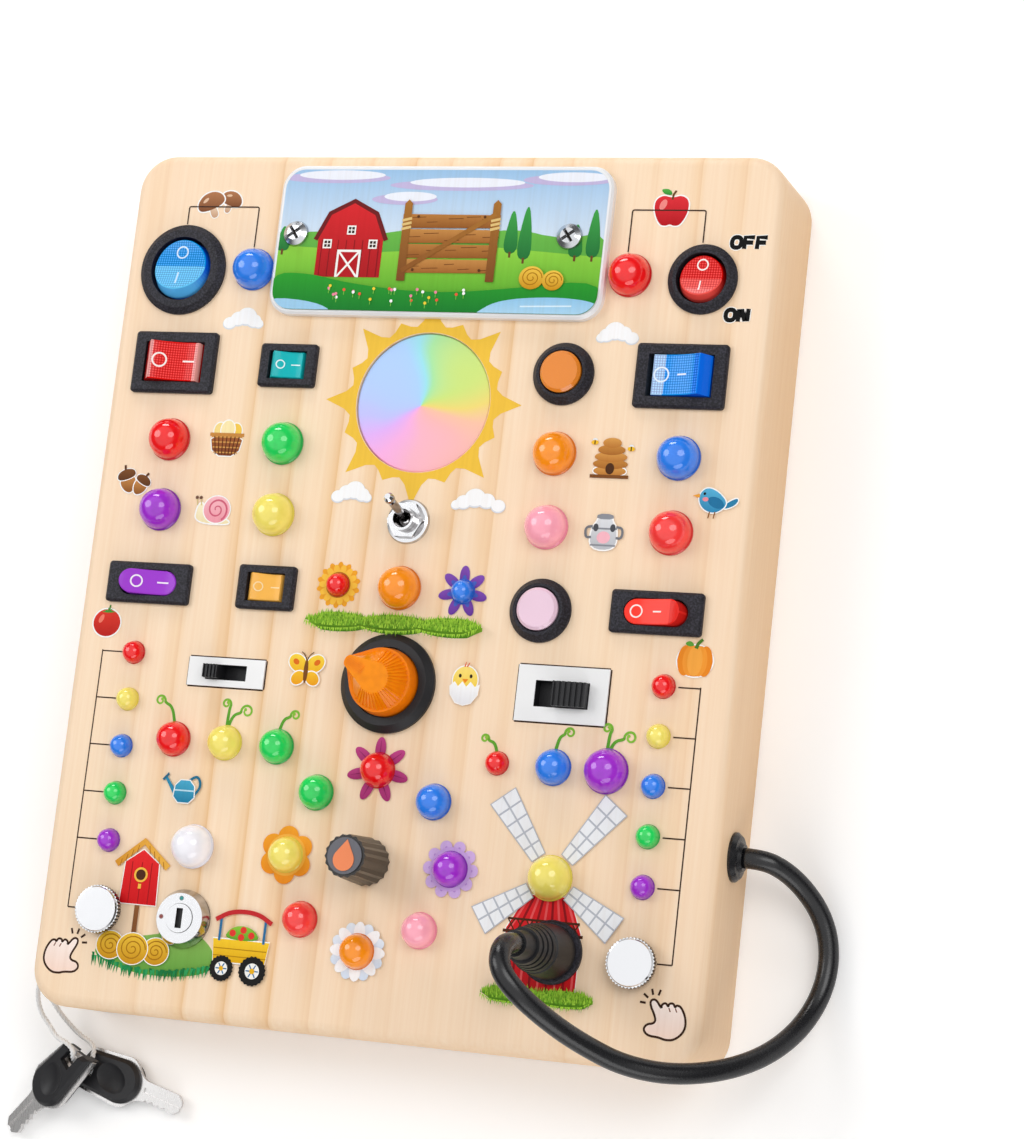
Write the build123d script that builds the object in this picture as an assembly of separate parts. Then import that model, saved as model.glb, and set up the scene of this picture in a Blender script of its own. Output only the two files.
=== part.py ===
from build123d import *
import os
from math import atan2, cos, degrees, pi, radians, sin, tan

# Wooden busy board with switches, lights, a plug on a cable and a pair of keys.
# It lies on its back: +X to the right, +Y towards the top edge, +Z out of the front face.
# The origin is the centre of the back. All sizes are in millimetres.

# ---- driving dimensions ----
BOARD_W = 235.0
BOARD_H = 297.0
BOARD_T = 37.0
BOARD_CORNER_R = 13.0
FRONT_EDGE_R = 4.0
BACK_EDGE_R = 2.0
FRONT_WALL = 6.0
RIM = 12.0  # wooden rim round the back panel
PANEL_T = 3.0
PANEL_RECESS = 0.3
PANEL_GAP = 0.3
PANEL_LEDGE = 4.0
FIT = 0.2  # clearance of a body in its cut-out
RUN = 0.3  # clearance between pieces that move past each other

FACE = BOARD_T  # height of the front face
CAVITY_FLOOR = PANEL_T + PANEL_RECESS
CAVITY_TOP = BOARD_T - FRONT_WALL

# light caps: radius of the foot, height of the foot, dome height and flat top radius
CAP_SIZES = {
    "large": dict(foot_r=7.4, foot_h=1.0, height=8.8),
    "medium": dict(foot_r=6.0, foot_h=0.9, height=7.2),
    "small": dict(foot_r=4.0, foot_h=0.8, height=4.8),
}
CHIP = 5.0  # square light-emitting package
CHIP_BOARD = 11.0

COLUMN_X = 94.2
COLUMN_TOP_Y = -28.0
COLUMN_PITCH = 16.0
OUTER_X = 91.3
INNER_X = 48.8
UPPER_ROW_Y = 46.3
LOWER_ROW_Y = 21.7
FLOWER_ROW_Y = -1.0
SPROUT_ROW_Y = -56.4
MILL_ROW_Y = -91.7
DAISY_ROW_Y = -112.2

# each light: colour, size, x, y
LIGHTS = [
    ("blue", "large", -68, 107), ("red", "large", 68, 107),
    ("red", "large", -OUTER_X, UPPER_ROW_Y), ("green", "large", -INNER_X, UPPER_ROW_Y),
    ("orange", "large", INNER_X, UPPER_ROW_Y), ("blue", "large", OUTER_X, UPPER_ROW_Y),
    ("purple", "large", -OUTER_X, LOWER_ROW_Y), ("yellow", "large", -INNER_X, LOWER_ROW_Y),
    ("pink", "large", INNER_X, LOWER_ROW_Y), ("coral", "large", OUTER_X, LOWER_ROW_Y),
    ("red", "small", -22.3, FLOWER_ROW_Y), ("orange", "large", 0, FLOWER_ROW_Y),
    ("blue", "small", 22.3, FLOWER_ROW_Y),
    ("red", "medium", -75, SPROUT_ROW_Y), ("yellow", "medium", -56, SPROUT_ROW_Y),
    ("green", "medium", -37, SPROUT_ROW_Y), ("red", "small", 41, SPROUT_ROW_Y),
    ("blue", "medium", 60.3, SPROUT_ROW_Y), ("purple", "large", 78.2, SPROUT_ROW_Y),
    ("green", "medium", -20.8, -70.5), ("red", "medium", 0, -61.6), ("blue", "medium", 20.8, -70.5),
    ("white", "large", -62.8, MILL_ROW_Y), ("yellow", "medium", -28.8, MILL_ROW_Y),
    ("purple", "medium", 29.2, MILL_ROW_Y), ("yellow", "large", 63.4, MILL_ROW_Y),
    ("coral", "medium", -21, DAISY_ROW_Y), ("pink", "medium", 21, DAISY_ROW_Y),
    ("orange", "medium", 0.4, -120.8),
]
for side in (-1, 1):
    for step, colour in enumerate(("red", "yellow", "blue", "green", "purple")):
        LIGHTS.append((colour, "small", side * COLUMN_X, COLUMN_TOP_Y - step * COLUMN_PITCH))

# rocker switches: outline of the frame, of its window and of the cap, and the body behind the face
ROCKER_TILT = 12.0
ROCKER_FRAME_T = 2.2
ROCKER_BODY_D = 14.0
ROCKER_WELL_D = 6.5
ROCKER_GAP = 0.35
ROCKERS = {
    "blue_round": dict(shape="round", x=-95, y=106.5, frame=(32, 32), window=(22.6, 22.6), raised="-y"),
    "red_round": dict(shape="round", x=93, y=106, frame=(23.5, 23.5), window=(17.2, 17.2), raised="-y"),
    "red_wide": dict(shape="rect", x=-93.3, y=73.3, frame=(31, 21.5), window=(22.3, 14.2), raised="-x"),
    "teal_mini": dict(shape="rect", x=-50.4, y=73.3, frame=(21, 15), window=(13.8, 9.8), raised="-x"),
    "blue_wide": dict(shape="rect", x=89.2, y=73.3, frame=(31, 21.5), window=(22.3, 14.2), raised="+x"),
    "purple_slim": dict(shape="slot", x=-91.8, y=-4, frame=(31, 14), window=(21.8, 9.0), raised="-x"),
    "amber_mini": dict(shape="rect", x=-48, y=-3.4, frame=(21, 15), window=(13.8, 9.8), raised="-x"),
    "red_slim": dict(shape="slot", x=89.5, y=-4.6, frame=(31, 14), window=(21.8, 9.0), raised="+x"),
}

# battery box behind the picture plate
PLATE = dict(x=0, y=117.2, w=120, h=52.5, t=3.3, corner=8, edge=0.8)
PLATE_SCREWS = ((-52.5, 119), (46.5, 119))
SCREW_HEAD_R = 4.6
SCREW_HEAD_H = 2.2
SCREW_SHANK_R = 1.6
SCREW_L = 16.0
TRAY = dict(w=60, h=47.6, depth=21, wall=1.4)
CELL_R = 7.1
CELL_L = 50.0
CELL_PITCH = 14.7

# sun lamp
SUN_Y = 62.2
SUN_R = 23.75
SUN_T = 2.5
SUN_RECESS = 0.7
SUN_APERTURE_R = 21.5

# round push buttons with a plastic cap
BUTTONS = {"orange": (48.8, 73.1), "pink": (50.0, -5.9)}
BUTTON_FRAME_R = 10.5
BUTTON_CAP_R = 7.0
BUTTON_TRAVEL = 2.5

# metal push buttons
PUSHES = {"left": (-93.5, -115.4), "right": (93.9, -116.0)}
PUSH_R = 8.1
PUSH_TEETH = 42
PUSH_TRAVEL = 1.2

KEY_SWITCH = (-63.0, -115.8)
KEY_FLANGE_R = 9.75
KEY_FACE_R = 8.3
KEY_FACE_H = 3.6
BARREL_R = 4.8
KEY_SLOT = (2.3, 6.6, 10.0)

TOGGLE = (0.0, 21.5)
TOGGLE_TILT = 13.0
TOGGLE_PIVOT_H = 1.5
TOGGLE_LEVER_L = 19.0
TOGGLE_BALL_R = 2.6

SELECTOR = (0.0, -33.0)
SELECTOR_FRAME_R = 16.5
SELECTOR_FRAME_H = 3.5
SELECTOR_KNOB_R = 11.3
SELECTOR_SKIRT_H = 4.4
SELECTOR_WALL_H = 8.6
SELECTOR_TOP_H = 14.0
SELECTOR_ANGLE = 152.0
SELECTOR_REACH = 14.0
SELECTOR_TIP_HALF = 2.9
SELECTOR_RIBS = 26
SELECTOR_RIB_SPAN = 230.0  # degrees of the crown that have ribs, all round but for the pointer
SELECTOR_RIB_H = 0.4

DIMMER = (0.0, -91.7)
DIMMER_R = 8.0
DIMMER_TOP_R = 7.1
DIMMER_H = 19.5
DIMMER_FLUTES = 18
DIMMER_ANGLE = 84.0

# slide switches: plate, slot, grip, which end the grip rests at and its travel
SLIDES = {
    "left": dict(x=-58.9, y=-32.9, plate=(28, 9.7), slot=(15.0, 5.2), grip=(5.2, 4.5, 4.0), end=-1, ribs=4),
    "right": dict(x=60.5, y=-32.9, plate=(31, 18.3), slot=(18.5, 8.6), grip=(11.2, 8.0, 4.4), end=1, ribs=6),
}
SLIDE_PLATE_T = 0.8
SLIDE_BODY_D = 9.0

# plug on its cable
PLUG = (66.5, -115.0)
PLUG_END_H = 36.0
SOCKET_R = 10.2
SOCKET_H = 2.2
PIN_R = 2.75
PIN_L = 12.0
CABLE_D = 6.6
GROMMET_Y = -78.6
GROMMET_Z = 18.5
GROMMET_R = 8.0
GROMMET_REACH = 3.5

# out of the plug, over the bottom right corner, down to the floor and up to the grommet
CABLE_ROUTE = [
    (66.5, -115, 73), (66.5, -115, 79), (66.5, -118, 84.5), (68, -123.5, 87.5), (72.5, -129, 86.5),
    (78.5, -134.5, 81.5), (85, -139.5, 75), (91.5, -143.5, 68), (100, -147.5, 60),
    (110.5, -149, 52.5), (120.5, -147.8, 44.5), (129.5, -144.5, 35), (137, -139, 24.5),
    (142.5, -131, 14), (146, -121.5, 6.5), (147.8, -111.5, 3.6), (147.2, -101.5, 3.7),
    (144, -93, 5.2), (139, -86, 9.2), (133.5, -81.2, 13.8), (127.4, -78.6, 18.5), (121, -78.6, 18.5),
]

# keys on a loop of cord: the right one lies on the floor, the left one rests on it and on its own tip
KEY_PLACES = {
    "right": dict(at=(-107.2, -167.8, 0), heading=-15, pitch=0, roll=0, mirrored=True),
    "left": dict(at=(-109.5, -165.8, 7.9), heading=225.5, pitch=14, roll=10, mirrored=False),
}
KEY_COVER_T = 6.0
KEY_BLADE_T = 1.7
KEY_BLADE_LOW = 2.1  # also the depth of the channel that the cord passes through
KEY_HEAD_HALF = 8.8
KEY_STEM_HALF = 3.5
KEY_TIP = 37.0
KEY_HOLE = (4.8, 5.0)
LANYARD_D = 1.8
LANYARD_Y = -136.0
LANYARD_Z = 18.5
LANYARD_HOLE_R = 2.6

# out of the side of the board, down through the left key, under the right one, up through it and back
LANYARD_ROUTE = [
    (-114, -136, 19.6), (-119, -136.5, 19.4), (-123.5, -139.5, 17.5), (-125.8, -145, 14.4),
    (-124.6, -151.2, 12.2), (-119.8, -155.6, 12.6), (-116.4, -158.9, 13.9), (-112, -160.1, 14.7),
    (-109.3, -162.2, 14.4), (-109.6, -164.8, 13.2), (-110.1, -166.2, 10.6), (-109.2, -165.9, 7.6),
    (-109.9, -166.2, 5.2), (-112.6, -166.2, 4.7), (-115.2, -165.7, 4), (-115.8, -165.5, 1.9),
    (-113.8, -166, 1), (-110.7, -166.9, 1), (-108.1, -167.6, 1.6), (-106.8, -167.9, 4.2),
    (-106, -167.3, 7), (-104.9, -164.6, 7.9), (-104.7, -161.2, 7.4), (-107.6, -158.9, 6.2),
    (-112, -157.2, 5.4), (-116.2, -154.1, 5.8), (-119.8, -150, 8.4), (-122, -145, 12.4),
    (-122, -140, 16), (-118.6, -136.6, 17.4), (-114, -136, 17.4),
]


# ---- helpers ----
def save(name, *solids):
    shape = solids[0] if len(solids) == 1 else Compound(children=list(solids))
    shape.label = name
    export_step(shape, f"parts/{name}.step")


def block(x, y, z0, w, h, z1, corner=0.0):
    """A box centred on x, y from z0 to z1, with rounded upright corners if asked."""
    outline = RectangleRounded(w, h, corner) if corner else Rectangle(w, h)
    return Pos(x, y, z0) * extrude(outline, z1 - z0)


def rod(x, y, z0, r, z1):
    return Pos(x, y, z0) * extrude(Circle(r), z1 - z0)


def turned(x, y, z, *profile):
    """A turned piece from (radius, height) points, standing on x, y, z."""
    outline = make_face(Polyline([(r, 0, h) for r, h in profile], close=True))
    return Pos(x, y, z) * revolve(outline, Axis.Z)


def cord(route, diameter, sides, name):
    """A tube on straight runs joined by arcs as large as the runs allow.

    Its section has flat sides and the area of the round one, which keeps it light.
    """
    points = [Vector(*p) for p in route]
    radii = []
    for before, here, after in zip(points, points[1:], points[2:]):
        run_in, run_out = here - before, after - here
        half_turn = radians(run_in.get_angle(run_out)) / 2
        radii.append(0.45 * min(run_in.length, run_out.length) / tan(half_turn))
    path = FilletPolyline(*points, radius=radii)
    radius = diameter / 2 * (2 * pi / (sides * sin(2 * pi / sides))) ** 0.5
    start = Plane(path @ 0, z_dir=path % 0)
    tube = sweep(start * RegularPolygon(radius, sides), path=path)
    ideal = pi * diameter**2 / 4 * path.length
    print(f"{name}: length {path.length:.1f}, volume / ideal {tube.volume / ideal:.4f}")
    print("  radii", " ".join(f"{r:.1f}" for r in radii))
    return tube


# ---- wooden body and back panel ----
def rocker_opening(r):
    """The hole in the face that the body of a rocker switch drops into."""
    w, h = rocker_body_size(r)
    z0 = FACE - ROCKER_BODY_D - FIT
    if r["shape"] == "round":
        return rod(r["x"], r["y"], z0, w / 2 + FIT, FACE)
    return block(r["x"], r["y"], z0, w + 2 * FIT, h + 2 * FIT, FACE)


def rocker_body_size(r):
    return r["frame"][0] - 4.5, r["frame"][1] - 3.0


def wood_body():
    shell = extrude(RectangleRounded(BOARD_W, BOARD_H, BOARD_CORNER_R), BOARD_T)
    shell = fillet(shell.faces().sort_by(Axis.Z)[-1].edges(), FRONT_EDGE_R)
    shell = fillet(shell.faces().sort_by(Axis.Z)[0].edges(), BACK_EDGE_R)
    panel_w = BOARD_W - 2 * RIM
    panel_h = BOARD_H - 2 * RIM
    cuts = [
        block(0, 0, 0, panel_w, panel_h, CAVITY_FLOOR, BOARD_CORNER_R),
        block(0, 0, CAVITY_FLOOR, panel_w - 2 * PANEL_LEDGE, panel_h - 2 * PANEL_LEDGE, CAVITY_TOP, 8),
        rod(0, SUN_Y, CAVITY_TOP, SUN_APERTURE_R, FACE),
        rod(0, SUN_Y, FACE - SUN_RECESS - SUN_T, SUN_R + FIT, FACE),
        block(PLATE["x"], PLATE["y"], FACE - TRAY["depth"] - FIT,
              TRAY["w"] + 2 * FIT, TRAY["h"] + 2 * FIT, FACE, 2),
        rod(*KEY_SWITCH, 14, 8 + FIT, FACE),
        rod(*TOGGLE, CAVITY_TOP, 4 + FIT, FACE),
        rod(*SELECTOR, 12, 11 + FIT, FACE),
        rod(*DIMMER, CAVITY_TOP, 3.5 + FIT, FACE),
        rod(*PLUG, 14, 7 + FIT, FACE),
    ]
    for colour, size, x, y in LIGHTS:
        cuts.append(block(x, y, CAVITY_TOP, CHIP + 2 * FIT, CHIP + 2 * FIT, FACE))
    cuts += [rocker_opening(r) for r in ROCKERS.values()]
    cuts += [rod(x, y, 16, 8 + FIT, FACE) for x, y in BUTTONS.values()]
    cuts += [rod(x, y, 18, 5.5 + FIT, FACE) for x, y in PUSHES.values()]
    cuts += [rod(x, y, FACE - SCREW_L, SCREW_SHANK_R, FACE) for x, y in PLATE_SCREWS]
    for s in SLIDES.values():
        w, h = slide_body_size(s)
        cuts.append(block(s["x"], s["y"], CAVITY_TOP, w + 2 * FIT, h + 2 * FIT, FACE))
    side_hole = Rot(0, 90, 0) * Cylinder(GROMMET_R / 2 + 0.8 + FIT, 24)
    cuts.append(Pos(BOARD_W / 2 - 8, GROMMET_Y, GROMMET_Z) * side_hole)
    lanyard_hole = Rot(0, 90, 0) * Cylinder(LANYARD_HOLE_R, 20)
    cuts.append(Pos(-BOARD_W / 2 + 8, LANYARD_Y, LANYARD_Z) * lanyard_hole)
    save("wood_body", shell - cuts)
    panel = block(0, 0, PANEL_RECESS, panel_w - 2 * PANEL_GAP, panel_h - 2 * PANEL_GAP,
                  CAVITY_FLOOR, BOARD_CORNER_R - PANEL_GAP)
    save("back_panel", panel)


# ---- lights ----
def light_cap(x, y, size):
    """A moulded dome in bands on a short straight foot, seated over its light."""
    r, foot, top = size["foot_r"], size["foot_h"], size["height"]
    rise = top - foot
    bands = [(r, foot), (0.93 * r, foot + 0.45 * rise), (0.7 * r, foot + 0.83 * rise), (0.32 * r, top)]
    if size is CAP_SIZES["small"]:
        bands = [(r, foot + 0.3 * rise), (0.55 * r, top)]
    return turned(x, y, FACE, (0, 0), (r, 0), *bands, (0, top))


def lights():
    for colour in sorted({light[0] for light in LIGHTS}):
        caps = [light_cap(x, y, CAP_SIZES[size]) for c, size, x, y in LIGHTS if c == colour]
        save(f"light_caps_{colour}", *caps)
    low = FACE - SUN_RECESS - SUN_T
    save("sun_diffuser", turned(0, SUN_Y, low, (0, 0), (SUN_R, 0), (SUN_R, SUN_T - 0.4),
                                (SUN_R - 0.4, SUN_T), (0, SUN_T)))

    places = [(x, y) for colour, size, x, y in LIGHTS]
    boards = [block(x, y, CAVITY_TOP - 1.2, CHIP_BOARD, CHIP_BOARD, CAVITY_TOP) for x, y in places]
    boards.append(rod(0, SUN_Y, CAVITY_TOP - 1.2, SUN_R + 1.5, CAVITY_TOP))
    places.append((0, SUN_Y))
    for step in range(6):
        turn = radians(60 * step)
        places.append((13 * cos(turn), SUN_Y + 13 * sin(turn)))
    save("light_boards", *boards)
    save("light_chips", *[block(x, y, CAVITY_TOP, CHIP, CHIP, CAVITY_TOP + 1.6) for x, y in places])


# ---- battery box ----
def battery_box():
    x, y = PLATE["x"], PLATE["y"]
    plate = block(x, y, FACE, PLATE["w"], PLATE["h"], FACE + PLATE["t"], PLATE["corner"])
    plate = chamfer(plate.faces().sort_by(Axis.Z)[-1].edges(), PLATE["edge"])
    plate -= [rod(sx, sy, FACE, SCREW_SHANK_R + FIT, FACE + PLATE["t"]) for sx, sy in PLATE_SCREWS]
    save("battery_cover", plate)

    top = FACE + PLATE["t"]
    cross = [Rot(0, 0, turn) * Box(5.2, 1.1, 2.4) for turn in (35, 125)]
    screws = []
    for sx, sy in PLATE_SCREWS:
        screw = turned(sx, sy, top, (0, -SCREW_L + 1), (SCREW_SHANK_R, -SCREW_L + 2.5), (SCREW_SHANK_R, 0),
                       (SCREW_HEAD_R, 0), (SCREW_HEAD_R - 0.4, 1.0), (2.6, SCREW_HEAD_H), (0, SCREW_HEAD_H))
        screws.append(screw - [Pos(sx, sy, top + SCREW_HEAD_H) * arm for arm in cross])
    save("cover_screws", *screws)

    z0 = FACE - TRAY["depth"]
    wall = TRAY["wall"]
    tray = block(x, y, z0, TRAY["w"], TRAY["h"], FACE - 0.4, 2)
    tray -= block(x, y, z0 + wall, TRAY["w"] - 2 * wall, TRAY["h"] - 2 * wall, FACE, 1)
    save("battery_tray", tray)

    cells, contacts = [], []
    cell_z = z0 + wall + CELL_R + 0.3
    contact_x = TRAY["w"] / 2 - wall
    for row in (-1, 0, 1):
        place = Pos(x, y + row * CELL_PITCH, cell_z)
        facing = 90 if row else -90
        shoulder = CELL_L - 1.5
        profile = ((0, 0), (CELL_R, 0), (CELL_R, shoulder), (2.7, shoulder), (2.7, CELL_L), (0, CELL_L))
        cells.append(place * Rot(0, facing, 0) * turned(0, 0, -CELL_L / 2, *profile))
        for side in (-1, 1):
            plate_x = x + side * (contact_x - 0.25)
            contacts.append(block(plate_x, y + row * CELL_PITCH, cell_z - 5, 0.5, 10, cell_z + 5))
    save("battery_cells", *cells)
    save("battery_contacts", *contacts)


# ---- rocker switches ----
def rocker_outline(shape, w, h):
    if shape == "round":
        return Circle(w / 2)
    if shape == "slot":
        return SlotOverall(w, h)
    return Rectangle(w, h)


def rocker_turn(raised):
    """Turns a switch that rocks along X so that its raised end faces the way asked."""
    return {"+x": 0, "-x": 180, "-y": -90}[raised]


def rocker_housing(r):
    shape = r["shape"]
    along, across = r["window"]
    body_w, body_h = rocker_body_size(r)
    if shape == "round":
        radius = r["frame"][0] / 2
        frame = turned(0, 0, 0, (0, 0), (radius, 0), (radius, 1.0), (radius - 2.0, ROCKER_FRAME_T + 0.4),
                       (0, ROCKER_FRAME_T + 0.4))
        body = rod(0, 0, -ROCKER_BODY_D, body_w / 2, 0)
    else:
        frame = extrude(RectangleRounded(*r["frame"], 1.2), ROCKER_FRAME_T)
        frame = chamfer(frame.faces().sort_by(Axis.Z)[-1].edges(), 0.8)
        body = block(0, 0, -ROCKER_BODY_D, body_w, body_h, 0)
    well = Pos(0, 0, -ROCKER_WELL_D) * extrude(rocker_outline(shape, along, across), ROCKER_WELL_D + 4)
    saddle = rocker_profile([(-2.2, -ROCKER_WELL_D), (2.2, -ROCKER_WELL_D), (0, -0.1)], across + 2)
    saddle &= Pos(0, 0, -ROCKER_WELL_D) * extrude(rocker_outline(shape, along, across), ROCKER_WELL_D)
    if shape == "round":
        saddle = Rot(0, 0, 90) * saddle
    return frame + body - well + saddle


def rocker_profile(points, width, valley=None):
    """An upright prism, with its outline in the plane that the switch rocks in.

    With a valley, an arc through that point joins the last point to the first.
    """
    points = [(s, 0, z) for s, z in points]
    outline = Polyline(points, close=valley is None)
    if valley:
        outline = Curve() + outline + ThreePointArc(points[-1], (valley[0], 0, valley[1]), points[0])
    return Pos(0, width / 2, 0) * extrude(make_face(outline), width, dir=(0, -1, 0))


def rocker_cap(r):
    """A cap with a hollow across its top, ends that slope down, and a notch for the saddle."""
    along, across = (size - 2 * ROCKER_GAP for size in r["window"])
    half = along / 2
    ridge = 0.79 * half
    height = 0.42 * half
    side = [(half - 0.2, -0.5), (half - 0.7, -2.4), (4.6, -2.4)]
    left = [(-s, z) for s, z in reversed(side)]
    profile = [(ridge, height)] + side + [(0, 0.1)] + left + [(-ridge, height)]
    cap = rocker_profile(profile, across, valley=(0, height - 0.12 * half))
    if r["shape"] != "rect":
        taper = 7 if r["shape"] == "round" else 0
        cap &= Pos(0, 0, -3) * extrude(rocker_outline(r["shape"], along, across), 12, taper=taper)
    return cap


def rockers():
    housings = {"wide": [], "mini": [], "slim": [], "round": []}
    for name, r in ROCKERS.items():
        place = Pos(r["x"], r["y"], FACE)
        housings[name.split("_")[1]].append(place * rocker_housing(r))
        tilted = Rot(0, 0, rocker_turn(r["raised"])) * Rot(0, -ROCKER_TILT, 0) * rocker_cap(r)
        save(f"rocker_{name}", place * tilted)
    for kind, pieces in housings.items():
        save(f"rocker_frames_{kind}", *pieces)


# ---- push buttons ----
def plastic_buttons():
    frames = []
    for name, (x, y) in BUTTONS.items():
        bore = BUTTON_CAP_R + RUN
        frames.append(turned(x, y, FACE, (0, -17), (8, -17), (8, 0), (BUTTON_FRAME_R, 0), (BUTTON_FRAME_R, 1),
                             (8.5, 3.6), (bore + 0.3, 3.6), (bore, 3.2), (bore, -7), (0, -7)))
        save(f"button_{name}", turned(x, y, FACE, (0, -4), (BUTTON_CAP_R, -4), (BUTTON_CAP_R, 4.0),
                                      (BUTTON_CAP_R - 0.9, 4.9), (0, 4.9)))
    save("button_frames", *frames)


def toothed(teeth, outer, inner):
    """A closed outline with straight-sided teeth round it."""
    points = []
    for step in range(2 * teeth):
        turn = pi * step / teeth
        radius = inner if step % 2 else outer
        points.append((radius * cos(turn), radius * sin(turn)))
    return make_face(Polyline(points, close=True))


def metal_buttons():
    bases = []
    for name, (x, y) in PUSHES.items():
        bases.append(turned(x, y, FACE, (0, -17), (5.5, -17), (5.5, 0), (7, 0), (7, 1.4), (2.6, 1.4),
                            (2.6, -13), (0, -13)))
        rim = Pos(x, y, FACE + 1.8) * extrude(toothed(PUSH_TEETH, PUSH_R, PUSH_R - 0.45), 2.4)
        cap = rim + turned(x, y, FACE, (0, 4.2), (PUSH_R - 0.5, 4.2), (PUSH_R - 0.9, 4.8), (0, 4.8))
        cap -= rod(x, y, FACE + 1.8, 7 + RUN, FACE + 3.0)
        save(f"push_button_{name}", cap + rod(x, y, FACE - 11, 2.6 - 0.2, FACE + 3.2))
    save("push_button_bases", *bases)


# ---- key switch ----
def key_switch():
    x, y = KEY_SWITCH
    bore = BARREL_R + 0.15
    body = turned(x, y, FACE, (0, -22), (8, -22), (8, 0), (KEY_FLANGE_R, 0), (KEY_FLANGE_R, 0.8),
                  (KEY_FACE_R, KEY_FACE_H), (bore, KEY_FACE_H), (bore, -12), (0, -12))
    save("key_switch_body", body)
    barrel = rod(x, y, FACE - 11.6, BARREL_R, FACE + KEY_FACE_H + 0.3)
    slot_w, slot_l, slot_d = KEY_SLOT
    top = FACE + KEY_FACE_H + 0.3
    save("key_barrel", barrel - block(x, y, top - slot_d, slot_w, slot_l, top))


# ---- toggle switch ----
def toggle_switch():
    x, y = TOGGLE
    case = block(x, y, CAVITY_TOP - 13, 13, 8, CAVITY_TOP)
    bushing = rod(x, y, CAVITY_TOP, 4, FACE + 6)
    bore = turned(x, y, FACE, (0, -1.8), (3.2, -1.8), (3.2, 6), (0, 6))
    save("toggle_body", case + bushing - bore)
    nut = extrude(RegularPolygon(5.6, 6, major_radius=False), 2.2)
    nut = Pos(x, y, FACE + 1.2) * (nut - Cylinder(4.05, 10))
    washer = turned(x, y, FACE, (4.05, 0), (7.65, 0), (7.2, 0.9), (6.4, 1.2), (4.05, 1.2))
    save("toggle_nut", nut, washer)
    lever = turned(0, 0, 0, (0, 0), (1.5, 0), (1.35, TOGGLE_LEVER_L - 4), (1.75, TOGGLE_LEVER_L - 2.2),
                   (1.7, TOGGLE_LEVER_L - 1), (1.0, TOGGLE_LEVER_L), (0, TOGGLE_LEVER_L))
    lever += Sphere(TOGGLE_BALL_R)
    save("toggle_lever", Pos(x, y, FACE + TOGGLE_PIVOT_H) * Rot(-TOGGLE_TILT, 0, 0) * lever)


# ---- selector knob ----
def pointed(radius, reach, tip_half):
    """A round outline with straight sides that run from it to a rounded tip along +X."""
    end_x = reach - 0.45 * tip_half
    distance = (end_x**2 + tip_half**2) ** 0.5
    touch = atan2(tip_half, end_x) + atan2((distance**2 - radius**2) ** 0.5, radius)
    tx, ty = radius * cos(touch), radius * sin(touch)
    outline = Curve() + ThreePointArc((tx, ty), (-radius, 0), (tx, -ty)) + Line((tx, -ty), (end_x, -tip_half))
    outline += ThreePointArc((end_x, -tip_half), (reach, 0), (end_x, tip_half))
    outline += Line((end_x, tip_half), (tx, ty))
    return make_face(outline)


def selector_crown(inset):
    """The upper part of the knob, with its outline drawn in all round."""
    low = pointed(SELECTOR_KNOB_R - 1.2 - inset, SELECTOR_REACH - 1.2 - inset, SELECTOR_TIP_HALF - 0.5)
    high = pointed(5.4 - inset, SELECTOR_REACH - 1.7 - inset, SELECTOR_TIP_HALF - 0.9)
    return loft([Pos(0, 0, SELECTOR_WALL_H) * low, Pos(0, 0, SELECTOR_TOP_H) * high], ruled=True)


def selector():
    x, y = SELECTOR
    recess = SELECTOR_KNOB_R + 0.5
    frame = turned(x, y, FACE, (0, -24), (11, -24), (11, 0), (SELECTOR_FRAME_R, 0), (SELECTOR_FRAME_R, 1.4),
                   (SELECTOR_FRAME_R - 2.2, SELECTOR_FRAME_H), (recess, SELECTOR_FRAME_H), (recess, 0.8),
                   (4, 0.8), (4, -8), (0, -8))
    save("selector_frame", frame)

    # round skirt in the frame, a pointed wall over it and a crown that slopes up to a small flat top
    knob = rod(0, 0, 1.2, SELECTOR_KNOB_R, SELECTOR_SKIRT_H) + rod(0, 0, -7, 3.8, 1.2)
    wall = pointed(SELECTOR_KNOB_R, SELECTOR_REACH, SELECTOR_TIP_HALF)
    knob += Pos(0, 0, SELECTOR_SKIRT_H) * extrude(wall, SELECTOR_WALL_H - SELECTOR_SKIRT_H, taper=8)
    knob += selector_crown(SELECTOR_RIB_H)

    # the ribs are slices of a slightly fuller crown
    radial = block(SELECTOR_KNOB_R / 2, 0, SELECTOR_WALL_H, SELECTOR_KNOB_R, 0.55, SELECTOR_TOP_H)
    pitch = SELECTOR_RIB_SPAN / SELECTOR_RIBS
    first = 180 - (SELECTOR_RIB_SPAN - pitch) / 2
    slices = [Rot(0, 0, first + step * pitch) * radial for step in range(SELECTOR_RIBS)]
    knob += selector_crown(0) & (Part() + slices)
    save("selector_knob", Pos(x, y, FACE) * Rot(0, 0, SELECTOR_ANGLE) * knob)


# ---- dimmer knob ----
def teardrop(radius, reach):
    """A round drop with a point at the given reach along +X."""
    touch = degrees(atan2((reach**2 - radius**2) ** 0.5, radius))
    tx, ty = radius * cos(radians(touch)), radius * sin(radians(touch))
    arc = ThreePointArc((tx, ty), (-radius, 0), (tx, -ty))
    return make_face(Curve() + arc + Polyline((tx, -ty), (reach, 0), (tx, ty)))


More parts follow.
